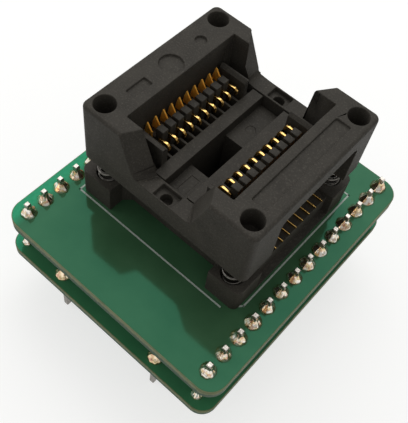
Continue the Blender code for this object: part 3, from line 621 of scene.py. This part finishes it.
socket_black = moulded_plastic("socket plastic", (0.043, 0.039, 0.033), (0.059, 0.0535, 0.045), 0.6, 0.15)
header_black = moulded_plastic("header plastic", (0.012, 0.012, 0.011), (0.018, 0.018, 0.017), 0.4, 0.3)
upper_mask = solder_mask("upper mask", upper_low, (0.042, 0.112, 0.053), (0.056, 0.138, 0.068))
# The lower mask is painted about 1.9 times lighter than the upper one: partly painted light that lifts
# the shade under the upper board, partly paler mask with no copper under it.
lower_mask_lightened_for_shade = solder_mask("lower mask lightened for shade", lower_low, (0.050, 0.210, 0.095), (0.065, 0.250, 0.115))
upper_laminate = board_edge("upper laminate", upper_low, upper_high)
lower_laminate = board_edge("lower laminate", lower_low, lower_high)
solder = solder_metal("solder", (0.92, 0.88, 0.80), 0.42)
stained_solder = solder_metal("stained solder", (1.0, 0.84, 0.62), 0.5)
bright_tin = metal("header pin tin", (0.46, 0.42, 0.38), (0.66, 0.62, 0.56), 0.24, 0.25 * MM)
dull_tin = metal("dip pin tin", (0.19, 0.175, 0.155), (0.30, 0.28, 0.25), 0.38, 0.25 * MM)
gold = contact_gold("gold plate")
# Painted shade: the spring steel is much darker than bare steel, so the springs stay dim in the gap under
# the cover.
steel_darkened_for_shade = metal("spring steel", (0.12, 0.11, 0.10), (0.24, 0.23, 0.21), 0.26, 0.3 * MM, 0.004 * MM)
ink = printed_ink("white print")


# Boards


def make_board(name, low, high, corner, mask, laminate):
    """Laminate with a mask on each side that stops just short of the routed edge."""
    middle = (low + high) / 2
    half = Vector(((high.x - low.x) / 2, (high.y - low.y) / 2))
    bm = bmesh.new()
    outline = rounded_rectangle(half, corner, BOARD_CORNER_STEPS)
    add_prism(bm, outline, low.z + MASK_THICKNESS, high.z - MASK_THICKNESS)
    core = new_object(bm, f"{name}_laminate")
    core.location = (middle.x, middle.y, 0)
    round_edges(core, BOARD_ROUNDING, segments=1)
    smooth(core)
    piece(core, "adapter", [laminate], [name])
    inset = half - Vector((MASK_INSET, MASK_INSET))
    for side, bottom, top in (
        ("top", high.z - MASK_THICKNESS, high.z),
        ("bottom", low.z, low.z + MASK_THICKNESS),
    ):
        bm = bmesh.new()
        outline = rounded_rectangle(inset, corner - MASK_INSET, BOARD_CORNER_STEPS)
        outline = [(x + middle.x, y + middle.y) for x, y in outline]
        add_prism(bm, outline, bottom, top)
        sheet = new_object(bm, f"{name}_mask_{side}")
        smooth(sheet)
        piece(sheet, "adapter", [mask])


def add_strip(bm, points, width, bottom, thickness):
    """A flat line of this width through the points, each stretch a box with square ends."""
    for start, end in zip(points, points[1:]):
        start = Vector(start)
        end = Vector(end)
        along = (end - start).normalized() * width / 2
        across = Vector((-along.y, along.x))
        near = start - along
        far = end + along
        corners = (near - across, far - across, far + across, near + across)
        add_prism(bm, [(p.x, p.y) for p in corners], bottom, bottom + thickness)


def make_outline_print():
    """The socket's outline in white print, open at the right front where it ends in a slanting tick."""
    x, y = OUTLINE_HALF
    cut = OUTLINE_CHAMFER
    tick = (x - PRINT_TICK, -y + cut - PRINT_TICK)
    bm = bmesh.new()
    points = [(x - cut, -y), (-x, -y), (-x, y), (x, y), (x, -y + cut), tick]
    add_strip(bm, points, OUTLINE_WIDTH, UPPER_TOP, PRINT_THICKNESS)
    outline = new_object(bm, "socket_outline_print")
    outline.location = (SOCKET.x, SOCKET.y, 0)
    piece(outline, "adapter", [ink])


# Pins and solder


def square_ring(share, edge, y, z):
    """A pin's section, or this share of it, with rounded corners, as points at height z."""
    half = share * PIN_SIDE / 2
    outline = rounded_rectangle((half, half), edge, PIN_CORNER_STEPS)
    return [Vector((x, y + across, z)) for x, across in outline]


def header_pin_rings(y):
    """A header pin whose lower part stands further to the front than its upper part."""
    top = UPPER_TOP + HEADER_PIN_ABOVE
    bottom = lower_low.z - HEADER_PIN_BELOW
    strip_bottom = upper_low.z - NO_GAP - STRIP_HEIGHT
    lower_y = y + LOWER_ROWS_SHIFT
    return [
        square_ring(HEADER_PIN_TIP_SHARE, PIN_EDGE / 2, lower_y, bottom),
        square_ring(1, PIN_EDGE, lower_y, bottom + HEADER_PIN_TIP),
        square_ring(1, PIN_EDGE, lower_y, lower_high.z),
        square_ring(1, PIN_EDGE, y, strip_bottom),
        square_ring(1, PIN_EDGE, y, top - HEADER_PIN_CUT),
        square_ring(HEADER_PIN_CUT_SHARE, PIN_EDGE, y, top),
    ]


def dip_pin_rings():
    """A straight DIP pin from the bottom of the part, whose ends taper."""
    top = lower_high.z + DIP_PIN_ABOVE
    return [
        square_ring(DIP_PIN_TIP_SHARE, PIN_EDGE / 2, 0, 0),
        square_ring(1, PIN_EDGE, 0, DIP_PIN_TIP),
        square_ring(1, PIN_EDGE, 0, top - DIP_PIN_TOP),
        square_ring(DIP_PIN_TOP_SHARE, PIN_EDGE / 2, 0, top),
    ]


# A joint's outline as (share of its radius, share of its height)
SOLDER_PROFILE = (
    (1.0, 0.0), (0.985, 0.06), (0.94, 0.14), (0.86, 0.26), (0.76, 0.38), (0.66, 0.50),
    (0.57, 0.62), (0.49, 0.73), (0.43, 0.83), (0.385, 0.92), (0.36, 1.0),
)


def solder_rings(centre_y, foot, height, radius, up, seed):
    """The sections of a solder joint that wets a pin: a cone with soft ridges, different on each pin."""
    rings = []
    offset = seed * SEED_STEP
    ridges = SOLDER_FEWEST_RIDGES + int(seed) % SOLDER_RIDGE_KINDS
    for share, rise in SOLDER_PROFILE:
        ring = []
        swell = math.sin(math.pi * min(1, SOLDER_SWELL_FROM + rise))
        along = Vector((0, 0, rise * SOLDER_LUMP_ALONG))
        for i in range(SOLDER_SIDES):
            angle = up * 2 * math.pi * i / SOLDER_SIDES
            direction = Vector((math.cos(angle), math.sin(angle), 0))
            lump = SOLDER_LUMP * noise.noise(direction * SOLDER_LUMP_ACROSS + offset + along)
            lump += SOLDER_RIDGE * math.cos(ridges * angle + seed)
            r = radius * share * (1 + lump * swell)
            ring.append((r * direction.x, centre_y + r * direction.y, foot + up * height * rise))
        rings.append(ring)
    return rings


def strip_outline(rows):
    """A header strip seen from above, with a notch between each two pins."""
    half_length = PINS_PER_ROW * PITCH / 2
    outline = []
    for edge in (1, -1):
        x = edge * STRIP_WIDTH / 2
        for y in rows if edge > 0 else reversed(rows):
            before = y - edge * PITCH / 2
            after = y + edge * PITCH / 2
            outline += [
                (x - edge * STRIP_NOTCH, before),
                (x, before + edge * STRIP_NOTCH),
                (x, after - edge * STRIP_NOTCH),
            ]
        outline.append((x - edge * STRIP_NOTCH, edge * half_length))
    return outline


def make_header_joints(across, row_place, rows, rng):
    """Three levels of joints: on the upper board, and on and below the lower board."""
    for level, foot, up, shift, share in (
        ("upper", UPPER_TOP - SOLDER_SINK, 1, 0.0, 1.0),
        ("middle", lower_high.z - SOLDER_SINK, 1, LOWER_ROWS_SHIFT, SMALL_JOINT_SHARE),
        ("lower", lower_low.z + SOLDER_SINK, -1, LOWER_ROWS_SHIFT, 1.0),
    ):
        bm = bmesh.new()
        for y in rows:
            seed = rng.random() * LARGEST_SEED
            radius = SOLDER_RADIUS * share * rng.uniform(*HEADER_JOINT_RADII)
            height = SOLDER_HEIGHT * share * rng.uniform(*HEADER_JOINT_HEIGHTS)
            add_sweep(bm, solder_rings(y + shift, foot, height, radius, up, seed))
        joints = new_object(bm, f"header_{across}_solder_{level}")
        joints.location = row_place
        smooth(joints, angle=70)
        piece(joints, "adapter", [solder])


def make_headers():
    rows = row_positions(PINS_PER_ROW, PITCH)
    strip_top = upper_low.z - NO_GAP
    rng = random.Random(HEADER_SEED)
    for side, across in ((-1, "left"), (1, "right")):
        row_place = (PIN_ROWS_CENTRE.x + side * HEADER_ROW_SPACING / 2, PIN_ROWS_CENTRE.y, 0)
        bm = bmesh.new()
        add_prism(bm, strip_outline(rows), strip_top - STRIP_HEIGHT, strip_top)
        strip = new_object(bm, f"header_{across}_strip")
        strip.location = row_place
        round_edges(strip, STRIP_ROUNDING, angle=40)
        smooth(strip)
        piece(strip, "adapter", [header_black], [f"header_{across}"])

        bm = bmesh.new()
        for y in rows:
            add_sweep(bm, header_pin_rings(y))
        pins = new_object(bm, f"header_{across}_pins")
        pins.location = row_place
        smooth(pins, angle=35)
        piece(pins, "adapter", [bright_tin])
        make_header_joints(across, row_place, rows, rng)


def dip_pin_places():
    middle = PIN_ROWS_CENTRE + Vector((0, LOWER_ROWS_SHIFT))
    return [
        (middle.x + side * DIP_ROW_SPACING / 2, middle.y + y, 0)
        for side in (-1, 1)
        for y in row_positions(PINS_PER_ROW, PITCH)
    ]


def make_dip_pins():
    rng = random.Random(DIP_SEED)
    foot = lower_high.z - SOLDER_SINK
    for number, place in enumerate(dip_pin_places(), 1):
        bm = bmesh.new()
        add_sweep(bm, dip_pin_rings())
        seed = rng.random() * LARGEST_SEED
        height = SOLDER_HEIGHT * rng.uniform(*DIP_JOINT_HEIGHTS)
        add_sweep(bm, solder_rings(0, foot, height, SOLDER_RADIUS, 1, seed), 1)
        pin = new_object(bm, f"dip_pin_{number:02}_square")
        pin.location = place
        smooth(pin, angle=60)
        piece(pin, "adapter", [dull_tin, stained_solder], [f"dip_pin_{number:02}"])


# Socket


def saddle_ring(end, y):
    """A saddle's gap at this distance from the middle: flat, then up the slanting sides of the blocks."""
    share = (y - WINDOW_HALF.y) / (COVER_HALF.y - WINDOW_HALF.y)
    at_window, at_end = FRONT_SADDLE if end < 0 else REAR_SADDLE
    half, foot, top = at_window.lerp(at_end, share)
    fillet_z = SADDLE_TOP + SADDLE_FILLET
    above = COVER_TOP + BEYOND
    right = []
    for i in range(SADDLE_STEPS + 1):
        angle = math.pi / 2 * i / SADDLE_STEPS
        x = half + (foot - half) * math.sin(angle)
        right.append((x, SADDLE_TOP + SADDLE_FILLET * (1 - math.cos(angle))))
    right.append((foot + (top - foot) * (above - fillet_z) / (COVER_TOP - fillet_z), above))
    return [(x, end * y, z) for x, z in right + [(-x, z) for x, z in reversed(right)]]


def spring_pocket_radius():
    return SPRING_RADIUS + SPRING_WIRE / 2 + SPRING_CLEARANCE


def saddle_pocket_cutters(bm, end):
    """The pocket in a saddle and the hole in the pocket's floor."""
    half_x, half_y = SADDLE_POCKET_HALF
    middle = end * (COVER_HALF.y - SADDLE_POCKET_RIM - half_y)
    floor = SADDLE_TOP - SADDLE_POCKET_DEPTH
    add_box(bm, (-half_x, middle - half_y, floor), (half_x, middle + half_y, SADDLE_TOP + BEYOND))
    hole = (0, -FRONT_SADDLE_HOLE_Y if end < 0 else REAR_SADDLE_HOLE_Y)
    add_cylinder(bm, hole, floor - SADDLE_HOLE_DEPTH, floor + BEYOND / 2, SADDLE_HOLE_RADIUS)


def cover_cutters(bm):
    """The window, the saddles' gaps, the corner holes and the springs' seats."""
    window_x, window_y = WINDOW_HALF
    low = COVER_BOTTOM - BEYOND
    high = COVER_TOP + BEYOND
    hole_bottom = COVER_TOP - CORNER_HOLE_DEPTH
    seat_top = COVER_BOTTOM + COVER_POCKET_DEPTH
    add_box(bm, (-window_x, -window_y, low), (window_x, window_y, high))
    for end in (-1, 1):
        add_loft(bm, saddle_ring(end, window_y - BEYOND), saddle_ring(end, COVER_HALF.y + BEYOND))
        saddle_pocket_cutters(bm, end)
        for side in (-1, 1):
            hole = (side * CORNER_HOLE.x, end * CORNER_HOLE.y)
            add_cylinder(bm, hole, hole_bottom, high, CORNER_HOLE_RADIUS, WIDE_CYLINDER_SIDES)
            seat = (side * SPRING_CENTRE.x, end * SPRING_CENTRE.y)
            add_cylinder(bm, seat, low, seat_top, spring_pocket_radius())


def side_opening_outline():
    """The opening below a bar as (y, z), with rounded upper corners."""
    r = SIDE_OPENING_CORNER
    low = COVER_BOTTOM - BEYOND
    rear = arc((SIDE_OPENING_REAR - r, BAR_BOTTOM - r), r, 0, 90)
    front = arc((SIDE_OPENING_FRONT + r, BAR_BOTTOM - r), r, 90, 180)
    return [(SIDE_OPENING_FRONT, low), (SIDE_OPENING_REAR, low)] + rear + front


def side_cutters(bm):
    """The opening below each bar and its lip, and the room for the levers."""
    low = COVER_BOTTOM - BEYOND
    inside = WINDOW_HALF.x - BEYOND
    relief = [
        (inside, LIP_BOTTOM),
        (LIP_INNER, LIP_BOTTOM),
        (LIP_INNER, BAR_BOTTOM - RELIEF_BELOW),
        (WINDOW_HALF.x, BAR_BOTTOM + RELIEF_ABOVE),
        (inside, BAR_BOTTOM + RELIEF_ABOVE),
    ]
    for side in (-1, 1):
        add_prism(bm, side_opening_outline(), side * LIP_OUTER, side * (COVER_HALF.x + BEYOND), "X")
        near = (side * inside, SIDE_OPENING_FRONT, low)
        far = (side * (LIP_OUTER + NO_GAP), SIDE_OPENING_REAR, LIP_BOTTOM + NO_GAP)
        add_box(bm, near, far)
        outline = [(side * x, z) for x, z in relief]
        add_prism(bm, outline, SIDE_OPENING_FRONT, SIDE_OPENING_REAR, "Y")


def recess_cutters(bm):
    bottom = COVER_TOP - RECESS_DEPTH
    top = COVER_TOP + BEYOND
    for centre, half in (
        (LONG_RECESS_CENTRE, LONG_RECESS_HALF),
        (SHORT_RECESS_CENTRE, SHORT_RECESS_HALF),
    ):
        add_box(bm, (*(centre - half), bottom), (*(centre + half), top))
    add_cylinder(bm, ROUND_RECESS_CENTRE, bottom, top, ROUND_RECESS_RADIUS, WIDE_CYLINDER_SIDES)
    add_cylinder(bm, SMALL_RECESS_CENTRE, bottom, top, SMALL_RECESS_RADIUS)


def make_cover():
    bm = bmesh.new()
    add_prism(bm, rounded_rectangle(COVER_HALF, COVER_CORNER), COVER_BOTTOM, COVER_TOP)
    rim = [edge for edge in bm.edges if all(abs(v.co.z - COVER_TOP) < NO_GAP for v in edge.verts)]
    bmesh.ops.bevel(
        bm, geom=rim, offset=COVER_EDGE, segments=COVER_EDGE_SEGMENTS, profile=0.5, affect="EDGES",
    )
    cover = new_object(bm, "cover_moulding")
    bm = bmesh.new()
    cover_cutters(bm)
    combine(cover, bm)
    bm = bmesh.new()
    side_cutters(bm)
    recess_cutters(bm)
    combine(cover, bm)
    round_edges(cover, COVER_ROUNDING)
    smooth(cover)
    cover.location = SOCKET
    piece(cover, "cover", [socket_black], ["cover"])


def tower_half():
    return WINDOW_HALF - Vector((RUNNING_GAP, RUNNING_GAP))


def foot_outline(side, end):
    """A foot seen from above, with its rounded outer corner and a slant that meets the deck."""
    r = COVER_CORNER
    outer = COVER_HALF + LEFT_FOOT_OVERHANG if side < 0 else COVER_HALF
    slant = FOOT_NOTCH_Y - DECK_HALF.y
    points = [(outer.x, FOOT_INNER_Y)]
    points += arc((outer.x - r, outer.y - r), r, 0, 90)
    points += [(FOOT_INNER_X, outer.y), (FOOT_INNER_X, FOOT_NOTCH_Y)]
    points += [(FOOT_INNER_X - slant, DECK_HALF.y), (FOOT_INNER_X - slant, FOOT_INNER_Y)]
    points = [(side * x, end * y) for x, y in points]
    return points if side * end > 0 else points[::-1]


def tail_x(index):
    return TAIL_INNER + TAIL_STAGGER * (index % 2)


def guide_outer(end):
    return FRONT_GUIDE_OUTER if end < 0 else REAR_GUIDE_OUTER


def guide_profile(end):
    """A guide at an end of the nest as (distance from the middle, height), with a lead-in."""
    return [
        (NEST_HALF_LENGTH, PLATFORM_TOP - BEYOND),
        (guide_outer(end), PLATFORM_TOP - BEYOND),
        (guide_outer(end), GUIDE_TOP),
        (NEST_HALF_LENGTH + LEAD_IN, GUIDE_TOP),
        (NEST_HALF_LENGTH, GUIDE_TOP - LEAD_IN),
    ]


def base_shapes(bm):
    tower = tower_half()
    deck_x, deck_y = DECK_HALF
    add_box(bm, (-COVER_HALF.x, -deck_y, 0), (COVER_HALF.x, deck_y, FLANGE_HEIGHT))
    add_box(bm, (-tower.x, -tower.y, DECK_TOP - BEYOND), (tower.x, tower.y, PLATFORM_TOP))
    comb = [
        (COMB_INNER, PLATFORM_TOP - BEYOND),
        (tower.x, PLATFORM_TOP - BEYOND),
        (tower.x, BACK_TOP),
        (COMB_OUTER, BACK_TOP),
        (COMB_OUTER, COMB_TOP),
        (COMB_INNER, COMB_TOP),
    ]
    for side in (-1, 1):
        outline = [(side * x, z) for x, z in comb]
        add_prism(bm, outline, -COMB_HALF_LENGTH, COMB_HALF_LENGTH, "Y")
        for end in (-1, 1):
            outline = [(end * y, z) for y, z in guide_profile(end)]
            add_prism(bm, outline, side * GUIDE_INNER, side * tower.x, "X")
            add_prism(bm, foot_outline(side, end), 0, FOOT_TOP)


def bay_outline(side):
    """The channel between the platform and a comb as (x, y), around the fingers below the tips."""
    half = FINGER_WIDTH / 2
    points = [(BAY_INNER, -NEST_HALF_LENGTH)]
    for y in row_positions(CONTACTS_PER_ROW, CONTACT_PITCH):
        points += [(BAY_INNER, y - half), (FINGER_END, y - half)]
        points += [(FINGER_END, y + half), (BAY_INNER, y + half)]
    points.append((BAY_INNER, NEST_HALF_LENGTH))
    points += [(COMB_INNER, NEST_HALF_LENGTH), (COMB_INNER, -NEST_HALF_LENGTH)]
    return [(side * x, y) for x, y in points]


def trough_cutters(bm, top):
    """The channel between the rows, its pit, and the shallow marks on its floor."""
    beyond_y = WINDOW_HALF.y + BEYOND
    add_box(bm, (-TROUGH_HALF, -beyond_y, TROUGH_FLOOR), (TROUGH_HALF, beyond_y, top))
    add_box(bm, (-TROUGH_HALF, PIT_FRONT, PIT_FLOOR), (TROUGH_HALF, PIT_REAR, top))
    bottom = TROUGH_FLOOR - MARK_DEPTH
    half_x, half_y = FRONT_MARK_HALF
    add_box(bm, (-half_x, FRONT_MARK_Y - half_y, bottom), (half_x, FRONT_MARK_Y + half_y, top))
    add_cylinder(bm, (0, REAR_MARK_Y), bottom, top, REAR_MARK_RADIUS)


def base_cutters(bm):
    top = GUIDE_TOP + BEYOND
    trough_cutters(bm, top)
    radius = spring_pocket_radius()
    half_y = SLOT_WIDTH / 2
    for side in (-1, 1):
        add_prism(bm, bay_outline(side), BAY_FLOOR, top)
        inner = side * FINGER_END
        outer = side * (WINDOW_HALF.x + BEYOND / 2)
        for y in row_positions(CONTACTS_PER_ROW, CONTACT_PITCH):
            add_box(bm, (inner, y - half_y, DECK_TOP), (outer, y + half_y, top))
        for end in (-1, 1):
            seat = (side * SPRING_CENTRE.x, end * SPRING_CENTRE.y)
            add_cylinder(bm, seat, FOOT_TOP - FOOT_POCKET_DEPTH, FOOT_TOP + BEYOND, radius)
            near = (side * GUIDE_INNER, end * guide_outer(end), END_ROOM_FLOOR)
            add_box(bm, near, (outer, end * (WINDOW_HALF.y + BEYOND / 2), top))


def make_base():
    bm = bmesh.new()
    add_box(bm, (-DECK_HALF.x, -DECK_HALF.y, 0), (DECK_HALF.x, DECK_HALF.y, DECK_TOP))
    base = new_object(bm, "socket_base_moulding")
    bm = bmesh.new()
    base_shapes(bm)
    combine(base, bm, "UNION")
    bm = bmesh.new()
    base_cutters(bm)
    combine(base, bm)
    round_edges(base, BASE_ROUNDING)
    smooth(base)
    base.location = SOCKET + Vector((0, 0, NO_GAP))
    piece(base, "adapter", [socket_black], ["socket_base"])


def contact_outline(tail):
    """A contact's side as (distance from the socket's middle, height above the upper board)."""
    seat = DECK_TOP + NO_GAP + CONTACT_SEAT
    body_top = seat + BODY_HEIGHT
    hook = (TIP_X, TIP_Z - TIP_RADIUS)
    arm_top = TIP_X + ARM_TOP_OUT
    arm_top_z = TIP_Z - ARM_TOP_BELOW
    arm_foot = TIP_X + ARM_FOOT_OUT
    spike_z = FIN_TOP - FIN_SPIKE_HEIGHT
    stem_inner = FIN_INNER + STEM_INSET_INNER
    stem_outer = FIN_OUTER - STEM_INSET_OUTER
    tail_bottom = upper_low.z - UPPER_TOP - TAIL_BELOW_BOARD
    tip = FIN_OUTER - FIN_TIP_INSET
    flare = FIN_OUTER + FIN_FLARE
    points = arc(hook, TIP_RADIUS, TIP_END_ANGLE, 90, TIP_STEPS)
    points += [(arm_top, arm_top_z), (arm_foot + ARM_HEEL, body_top)]
    points += [(stem_inner, body_top), (stem_inner, FIN_BLADE_BOTTOM)]
    points += [(FIN_INNER, FIN_BLADE_BOTTOM + FIN_SHOULDER), (FIN_INNER, spike_z - FIN_STEP)]
    points += [(FIN_INNER + FIN_SHOULDER_INSET, spike_z), (tip - FIN_TIP_WIDTH, FIN_TOP)]
    points += [(tip, FIN_TOP), (FIN_OUTER + FIN_CHEEK, spike_z), (flare, FIN_TOP - FIN_FLARE_BELOW)]
    points += [(stem_outer, FIN_BLADE_BOTTOM - FIN_SHOULDER), (stem_outer, body_top)]
    points += [(stem_outer + TOE_SLOPE, seat + ARM_HEIGHT), (ARM_END, seat + ARM_HEIGHT)]
    points.append((ARM_END, seat))
    points += [(tail + TAIL_WIDTH / 2, seat), (tail + TAIL_WIDTH / 2, tail_bottom)]
    points += [(tail - TAIL_WIDTH / 2, tail_bottom), (tail - TAIL_WIDTH / 2, seat)]
    points += [(arm_foot - ARM_HEEL, seat), (arm_foot + ARM_HEEL - ARM_FOOT_WIDTH, body_top)]
    points += [(arm_top - ARM_TOP_WIDTH, arm_top_z - TIP_BAND)]
    points += arc(hook, TIP_RADIUS - TIP_BAND, 90, TIP_END_ANGLE)
    return points


def make_contacts():
    for side, row in ((-1, "left"), (1, "right")):
        for index, y in enumerate(row_positions(CONTACTS_PER_ROW, CONTACT_PITCH)):
            outline = [(side * x, z) for x, z in contact_outline(tail_x(index))]
            bm = bmesh.new()
            add_prism(bm, outline, -CONTACT_THICKNESS / 2, CONTACT_THICKNESS / 2, "Y")
            for vert in bm.verts:
                if abs(vert.co.x) < TIP_WIDE_TO:
                    vert.co.y *= TIP_WIDENING
                elif vert.co.z < FIN_BLADE_BOTTOM:
                    vert.co.y *= STEM_NARROWING
            name = f"{row}_contact_{index + 1:02}"
            contact = new_object(bm, f"{name}_formed")
            round_edges(contact, CONTACT_ROUNDING, angle=60)
            smooth(contact, angle=40)
            contact.location = SOCKET + Vector((0, y, 0))
            piece(contact, "adapter", [gold], [name])


def spring_height(share, length):
    """The height of a spring's wire at this share of its turns: nearly flat at both ends."""
    closed = SPRING_CLOSED_TURNS / SPRING_TURNS
    open_share = min(1, max(0, (share - closed) / (1 - 2 * closed)))
    flat_below = SPRING_CLOSED_RISE * min(share, closed) / closed
    flat_above = SPRING_CLOSED_RISE * (1 - min(1 - share, closed) / closed)
    middle_rise = length - SPRING_WIRE - 2 * SPRING_CLOSED_RISE
    return SPRING_WIRE / 2 + flat_below + middle_rise * open_share + flat_above


def spring_rings(centre, bottom, length):
    """The wire's round sections along a spring that stands on this bottom."""
    wire = SPRING_WIRE / 2
    count = int(SPRING_TURNS * SPRING_STEPS)
    rings = []
    for i in range(count + 1):
        angle = 2 * math.pi * i / SPRING_STEPS
        outward = Vector((math.cos(angle), math.sin(angle), 0))
        middle = Vector((*centre, bottom + spring_height(i / count, length))) + outward * SPRING_RADIUS
        ring = []
        for k in range(SPRING_SIDES):
            turn = 2 * math.pi * k / SPRING_SIDES
            upward = Vector((0, 0, wire * math.sin(turn)))
            ring.append(middle + outward * wire * math.cos(turn) + upward)
        rings.append(ring)
    return rings


def make_springs():
    """Coil springs with closed ends, squashed by the cover."""
    for side, across in ((-1, "left"), (1, "right")):
        for end, along in ((-1, "front"), (1, "rear")):
            name = f"spring_{along}_{across}"
            low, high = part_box(name)
            centre = (SOCKET.x + side * SPRING_CENTRE.x, SOCKET.y + end * SPRING_CENTRE.y)
            length = high.z - low.z
            bm = bmesh.new()
            add_sweep(bm, spring_rings(centre, low.z, length))
            spring = new_object(bm, f"{name}_coil")
            smooth(spring, angle=60)
            piece(spring, "adapter", [steel_darkened_for_shade], [name])
            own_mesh(spring)


make_board("upper_board", upper_low, upper_high, UPPER_CORNER, upper_mask, upper_laminate)
make_board("lower_board", lower_low, lower_high, LOWER_CORNER, lower_mask_lightened_for_shade, lower_laminate)
make_outline_print()
make_headers()
make_dip_pins()
make_base()
make_contacts()
make_springs()
make_cover()


# Floor, light and camera


def make_stage():
    bm = bmesh.new()
    add_box(bm, (-FLOOR_HALF, -FLOOR_HALF, -FLOOR_DEPTH), (FLOOR_HALF, FLOOR_HALF, -FLOOR_GAP))
    floor = new_object(bm, "floor")
    surface = bpy.data.materials.new("pale floor")
    surface.use_nodes = True
    tree = surface.node_tree
    shader = tree.nodes["Principled BSDF"]
    shader.inputs["Base Color"].default_value = FLOOR_COLOUR
    shader.inputs["Roughness"].default_value = 0.9
    shader.inputs["Specular IOR Level"].default_value = 0.1
    paths = tree.nodes.new("ShaderNodeLightPath")
    glow = tree.nodes.new("ShaderNodeEmission")
    glow.inputs["Color"].default_value = (1, 1, 1, 1)
    glow.inputs["Strength"].default_value = FLOOR_GLOW
    add = tree.nodes.new("ShaderNodeAddShader")
    mix = tree.nodes.new("ShaderNodeMixShader")
    seen = tree.nodes.new("ShaderNodeMath")
    seen.operation = "MAXIMUM"
    tree.links.new(paths.outputs["Is Camera Ray"], seen.inputs[0])
    tree.links.new(paths.outputs["Is Glossy Ray"], seen.inputs[1])
    tree.links.new(shader.outputs["BSDF"], add.inputs[0])
    tree.links.new(glow.outputs["Emission"], add.inputs[1])
    tree.links.new(seen.outputs["Value"], mix.inputs["Fac"])
    tree.links.new(shader.outputs["BSDF"], mix.inputs[1])
    tree.links.new(add.outputs["Shader"], mix.inputs[2])
    tree.links.new(mix.outputs["Shader"], tree.nodes["Material Output"].inputs["Surface"])
    floor.data.materials.append(surface)


def make_world():
    world = bpy.data.worlds.new("studio")
    bpy.context.scene.world = world
    world.use_nodes = True
    tree = world.node_tree
    background = tree.nodes["Background"]
    background.inputs["Color"].default_value = WORLD_COLOUR
    paths = tree.nodes.new("ShaderNodeLightPath")
    seen = tree.nodes.new("ShaderNodeMapRange")
    seen.inputs["To Min"].default_value = WORLD_LIGHT
    seen.inputs["To Max"].default_value = WORLD_SEEN
    tree.links.new(paths.outputs["Is Camera Ray"], seen.inputs["Value"])
    tree.links.new(seen.outputs["Result"], background.inputs["Strength"])


def add_area_light(name, place, size, power):
    light = bpy.data.lights.new(name, "AREA")
    light.shape = "RECTANGLE"
    light.size, light.size_y = size
    light.energy = power
    lamp = bpy.data.objects.new(name, light)
    lamp.location = place
    aim = CAMERA_TARGET - Vector(place)
    lamp.rotation_euler = aim.to_track_quat("-Z", "Y").to_euler()
    bpy.context.scene.collection.objects.link(lamp)


def make_camera():
    sin_az, cos_az = math.sin(CAMERA_AZIMUTH), math.cos(CAMERA_AZIMUTH)
    sin_el, cos_el = math.sin(CAMERA_ELEVATION), math.cos(CAMERA_ELEVATION)
    back = Vector((sin_az * cos_el, -cos_az * cos_el, sin_el))
    right = Vector((0, 0, 1)).cross(back).normalized()
    up = back.cross(right)
    rolled_right = math.cos(CAMERA_ROLL) * right + math.sin(CAMERA_ROLL) * up
    rolled_up = -math.sin(CAMERA_ROLL) * right + math.cos(CAMERA_ROLL) * up
    lens = bpy.data.cameras.new("camera")
    lens.lens = CAMERA_LENS
    lens.sensor_width = SENSOR_WIDTH
    lens.clip_start = CLIP_START
    lens.clip_end = CLIP_END
    camera = bpy.data.objects.new("camera", lens)
    rotation = Matrix((rolled_right, rolled_up, back)).transposed().to_4x4()
    camera.matrix_world = Matrix.Translation(CAMERA_TARGET + back * CAMERA_DISTANCE) @ rotation
    bpy.context.scene.collection.objects.link(camera)
    bpy.context.scene.camera = camera


make_stage()
make_world()
for light in LIGHTS:
    add_area_light(*light)
make_camera()
bpy.context.scene.view_settings.view_transform = "Standard"
